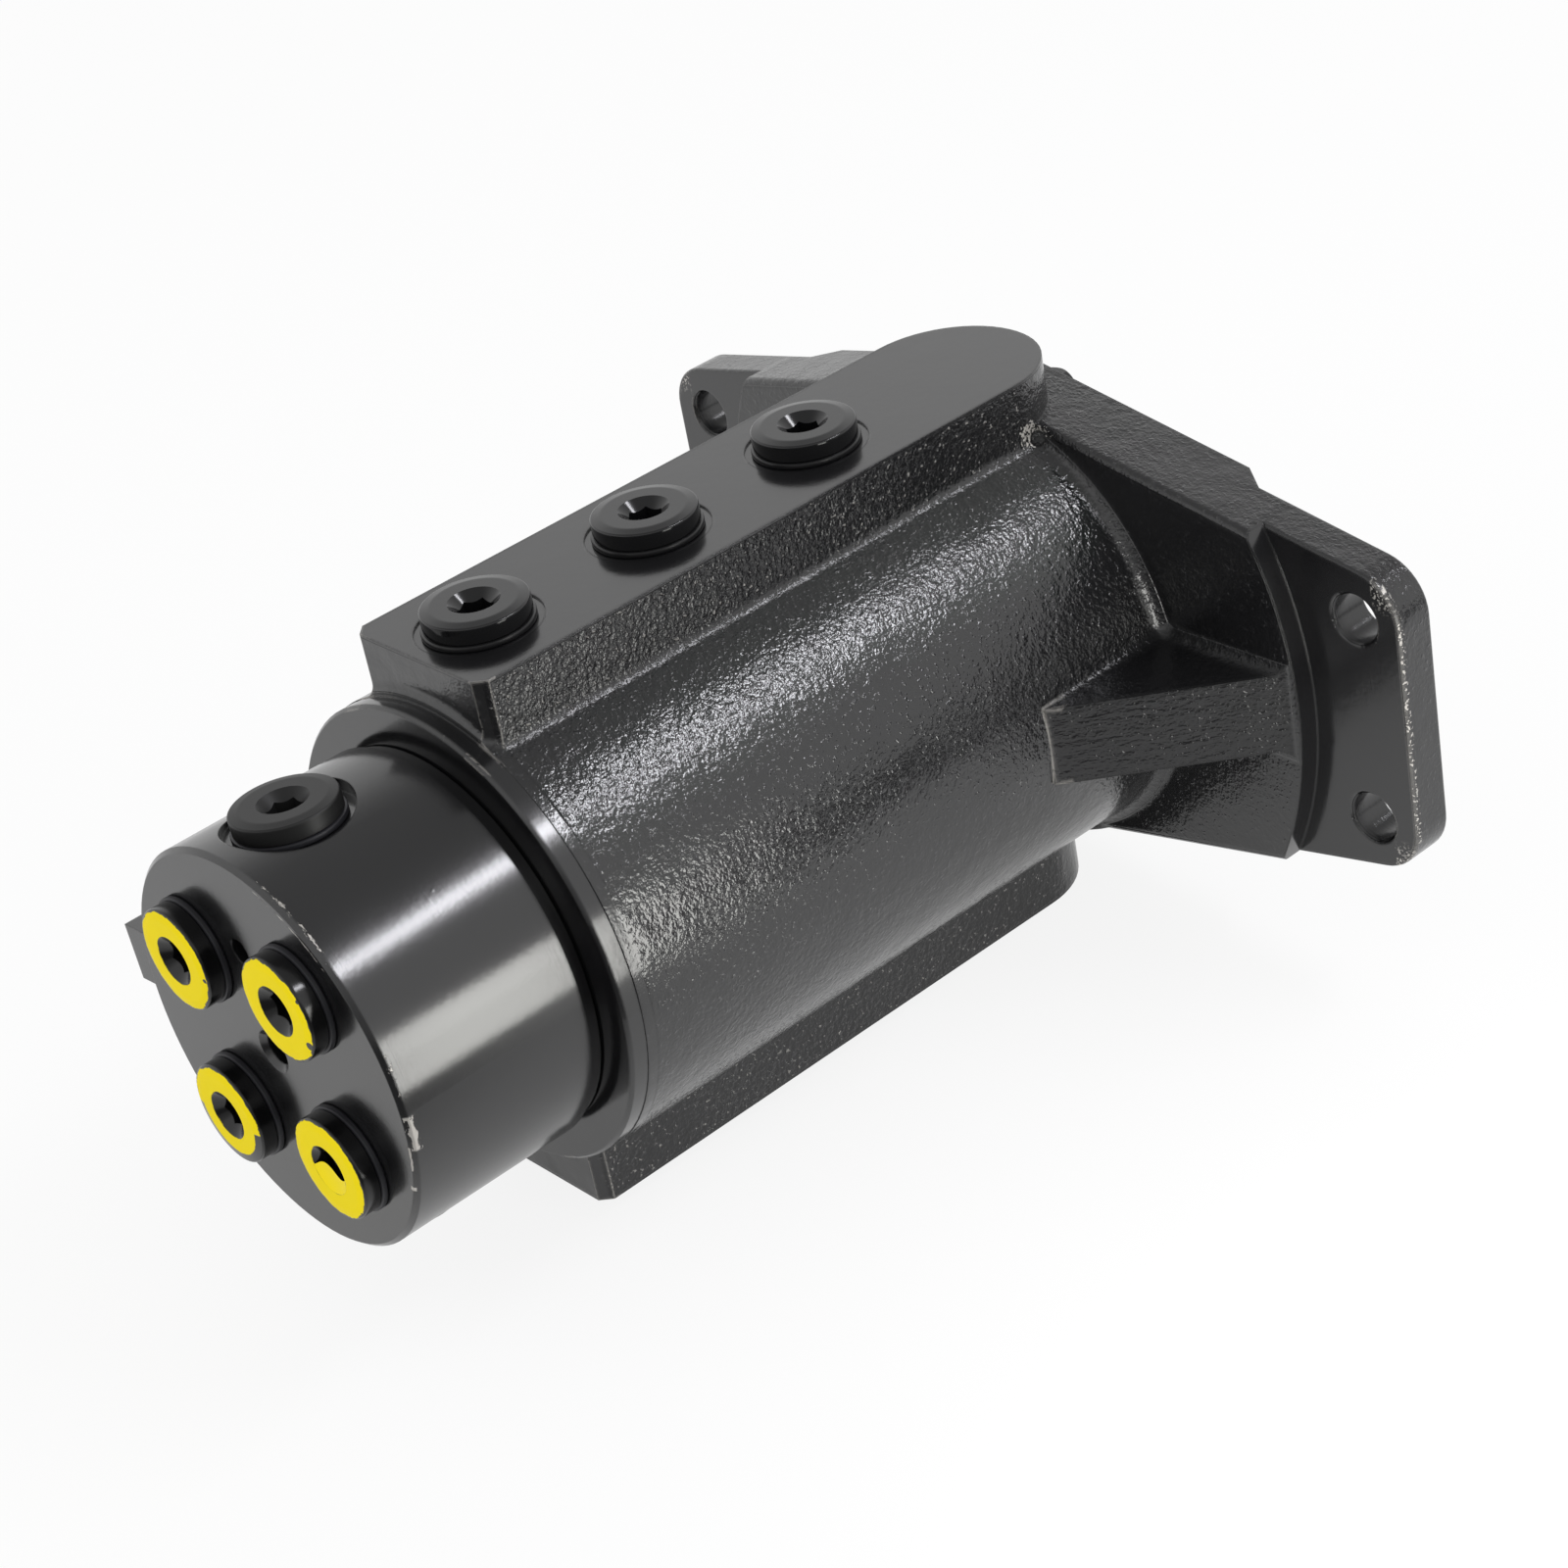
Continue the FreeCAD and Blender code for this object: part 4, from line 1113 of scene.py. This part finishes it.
def light_world(strength):
    """Even light on the object; the camera sees white, and reflections a softly shaded white."""
    world = bpy.data.worlds.new("studio")
    bpy.context.scene.world = world
    world.use_nodes = True
    tree = world.node_tree
    w = Wiring(tree)
    path = tree.nodes.new("ShaderNodeLightPath").outputs
    reflected = w.most(path["Is Glossy Ray"], path["Is Transmission Ray"])
    way = tree.nodes.new("ShaderNodeTexCoord").outputs["Generated"]
    height = w.split(way)[2]
    zenith = w.times(w.rise(height, 0.50, 0.85), 0.55)
    shaded_in_reflections = w.times(w.rise(toward_camera_side(w, way), 0.55, 0.85), w.fall(height, 0.2, 0.6))
    sky = w.times(w.minus(1.0, zenith), w.minus(1.0, w.times(shaded_in_reflections, 0.6)))
    even = w.times(w.rest(w.most(reflected, path["Is Camera Ray"])), strength)
    level = w.plus(path["Is Camera Ray"], w.times(reflected, sky), even)
    background = tree.nodes["Background"].inputs
    background["Color"].default_value = (1, 1, 1, 1)
    w.feed(background["Strength"], level)


def make_floor(colour):
    """Pale floor under the lowest plugs; it looks white and keeps a faint shadow, and in
    reflections a patch on the camera's side is painted dark as painted shade.
    """
    bm = bmesh.new()
    bmesh.ops.create_grid(bm, x_segments=1, y_segments=1, size=FLOOR_HALF_WIDTH)
    bmesh.ops.translate(bm, verts=bm.verts, vec=(0, 0, cad_box[0].z - 0.2 * MM))
    mesh = bpy.data.meshes.new("floor")
    bm.to_mesh(mesh)
    bm.free()
    floor = bpy.data.objects.new("floor", mesh)
    bpy.context.scene.collection.objects.link(floor)
    material = bpy.data.materials.new("floor")
    material.use_nodes = True
    tree = material.node_tree
    w = Wiring(tree)
    shader = tree.nodes["Principled BSDF"]
    shader.inputs["Base Color"].default_value = opaque(colour)
    shader.inputs["Roughness"].default_value = 0.9
    shader.inputs["Specular IOR Level"].default_value = 0.0
    glow = w.add("ShaderNodeEmission", {"Strength": 1.0})
    path = tree.nodes.new("ShaderNodeLightPath").outputs
    reflected = w.most(path["Is Glossy Ray"], path["Is Transmission Ray"])
    place = tree.nodes.new("ShaderNodeTexCoord").outputs["Object"]
    # Painted shade: in reflections the floor's glow fades on the camera's side, so that patch of
    # floor is painted dark.
    shaded_in_reflections = w.times(w.rise(toward_camera_side(w, place), 0.19, 0.32), reflected)
    w.feed(glow.inputs["Strength"], w.minus(1.0, w.times(shaded_in_reflections, 0.95)))
    seen = w.times(path["Is Camera Ray"], 0.86)
    share = w.most(seen, w.times(reflected, 0.55), w.times(shaded_in_reflections, 0.9))
    both = w.add("ShaderNodeMixShader", {0: share, 1: shader.outputs[0], 2: glow.outputs[0]})
    tree.links.new(both.outputs[0], tree.nodes["Material Output"].inputs["Surface"])
    mesh.materials.append(material)
    return floor


def set_camera(lens):
    """Camera at the photograph's viewing angle."""
    camera = bpy.data.cameras.new("camera")
    camera.lens = lens
    camera.sensor_width = 36.0
    camera.clip_start = 0.01
    made = bpy.data.objects.new("camera", camera)
    turn = Matrix((CAMERA_RIGHT, CAMERA_UP, CAMERA_RIGHT.cross(CAMERA_UP))).transposed()
    made.matrix_world = Matrix.Translation(CAMERA_PLACE) @ turn.to_4x4()
    bpy.context.scene.collection.objects.link(made)
    bpy.context.scene.camera = made


class SWIVEL_OT_set_stage(bpy.types.Operator):
    """Set up the floor, the soft lights and the camera"""

    bl_idname = "swivel.set_stage"
    bl_label = "Set the stage"

    def execute(self, context):
        stage = context.scene.swivel_stage
        make_floor(stage.floor)
        light_world(stage.ambient)
        cool, warm = (0.95, 0.95, 1.0), (1.0, 1.0, 0.96)
        lamp("softbox", (0.66, 0.41, 1.0), (0.0, -0.15, 0.0), (0.62, 0.12), stage.key, cool)
        middle = (0.0, -0.105, 0.0)
        lamp("side_panel", (0.32, -0.105, 0.0), middle, (0.10, 0.155), stage.side, warm)
        set_camera(stage.lens)
        context.scene.view_settings.view_transform = "Standard"
        return {"FINISHED"}


class SWIVEL_PT_panel(bpy.types.Panel):
    """Steps that finish the swivel joint"""

    bl_label = "Swivel Joint"
    bl_idname = "SWIVEL_PT_panel"
    bl_space_type = "VIEW_3D"
    bl_region_type = "UI"
    bl_category = "Swivel Joint"

    def draw(self, context):
        for operator in OPERATORS:
            self.layout.operator(operator.bl_idname)


OPERATORS = (
    SWIVEL_OT_paint_housing,
    SWIVEL_OT_paint_shaft,
    SWIVEL_OT_make_port_plugs,
    SWIVEL_OT_make_shaft_plugs,
    SWIVEL_OT_finish_inside,
    SWIVEL_OT_set_stage,
)
SETTINGS = (
    ("swivel_paint", PaintSettings),
    ("swivel_plug", PlugSettings),
    ("swivel_stage", StageSettings),
)


def register():
    for name, group in SETTINGS:
        bpy.utils.register_class(group)
        setattr(bpy.types.Scene, name, PointerProperty(type=group))
    for entry in OPERATORS + (SWIVEL_PT_panel,):
        bpy.utils.register_class(entry)


def unregister():
    for entry in reversed(OPERATORS + (SWIVEL_PT_panel,)):
        bpy.utils.unregister_class(entry)
    for name, group in reversed(SETTINGS):
        delattr(bpy.types.Scene, name)
        bpy.utils.unregister_class(group)


def main():
    """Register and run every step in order."""
    register()
    bpy.ops.swivel.paint_housing()
    bpy.ops.swivel.paint_shaft()
    bpy.ops.swivel.make_port_plugs()
    bpy.ops.swivel.make_shaft_plugs()
    bpy.ops.swivel.finish_inside()
    bpy.ops.swivel.set_stage()


if __name__ == "__main__":
    main()
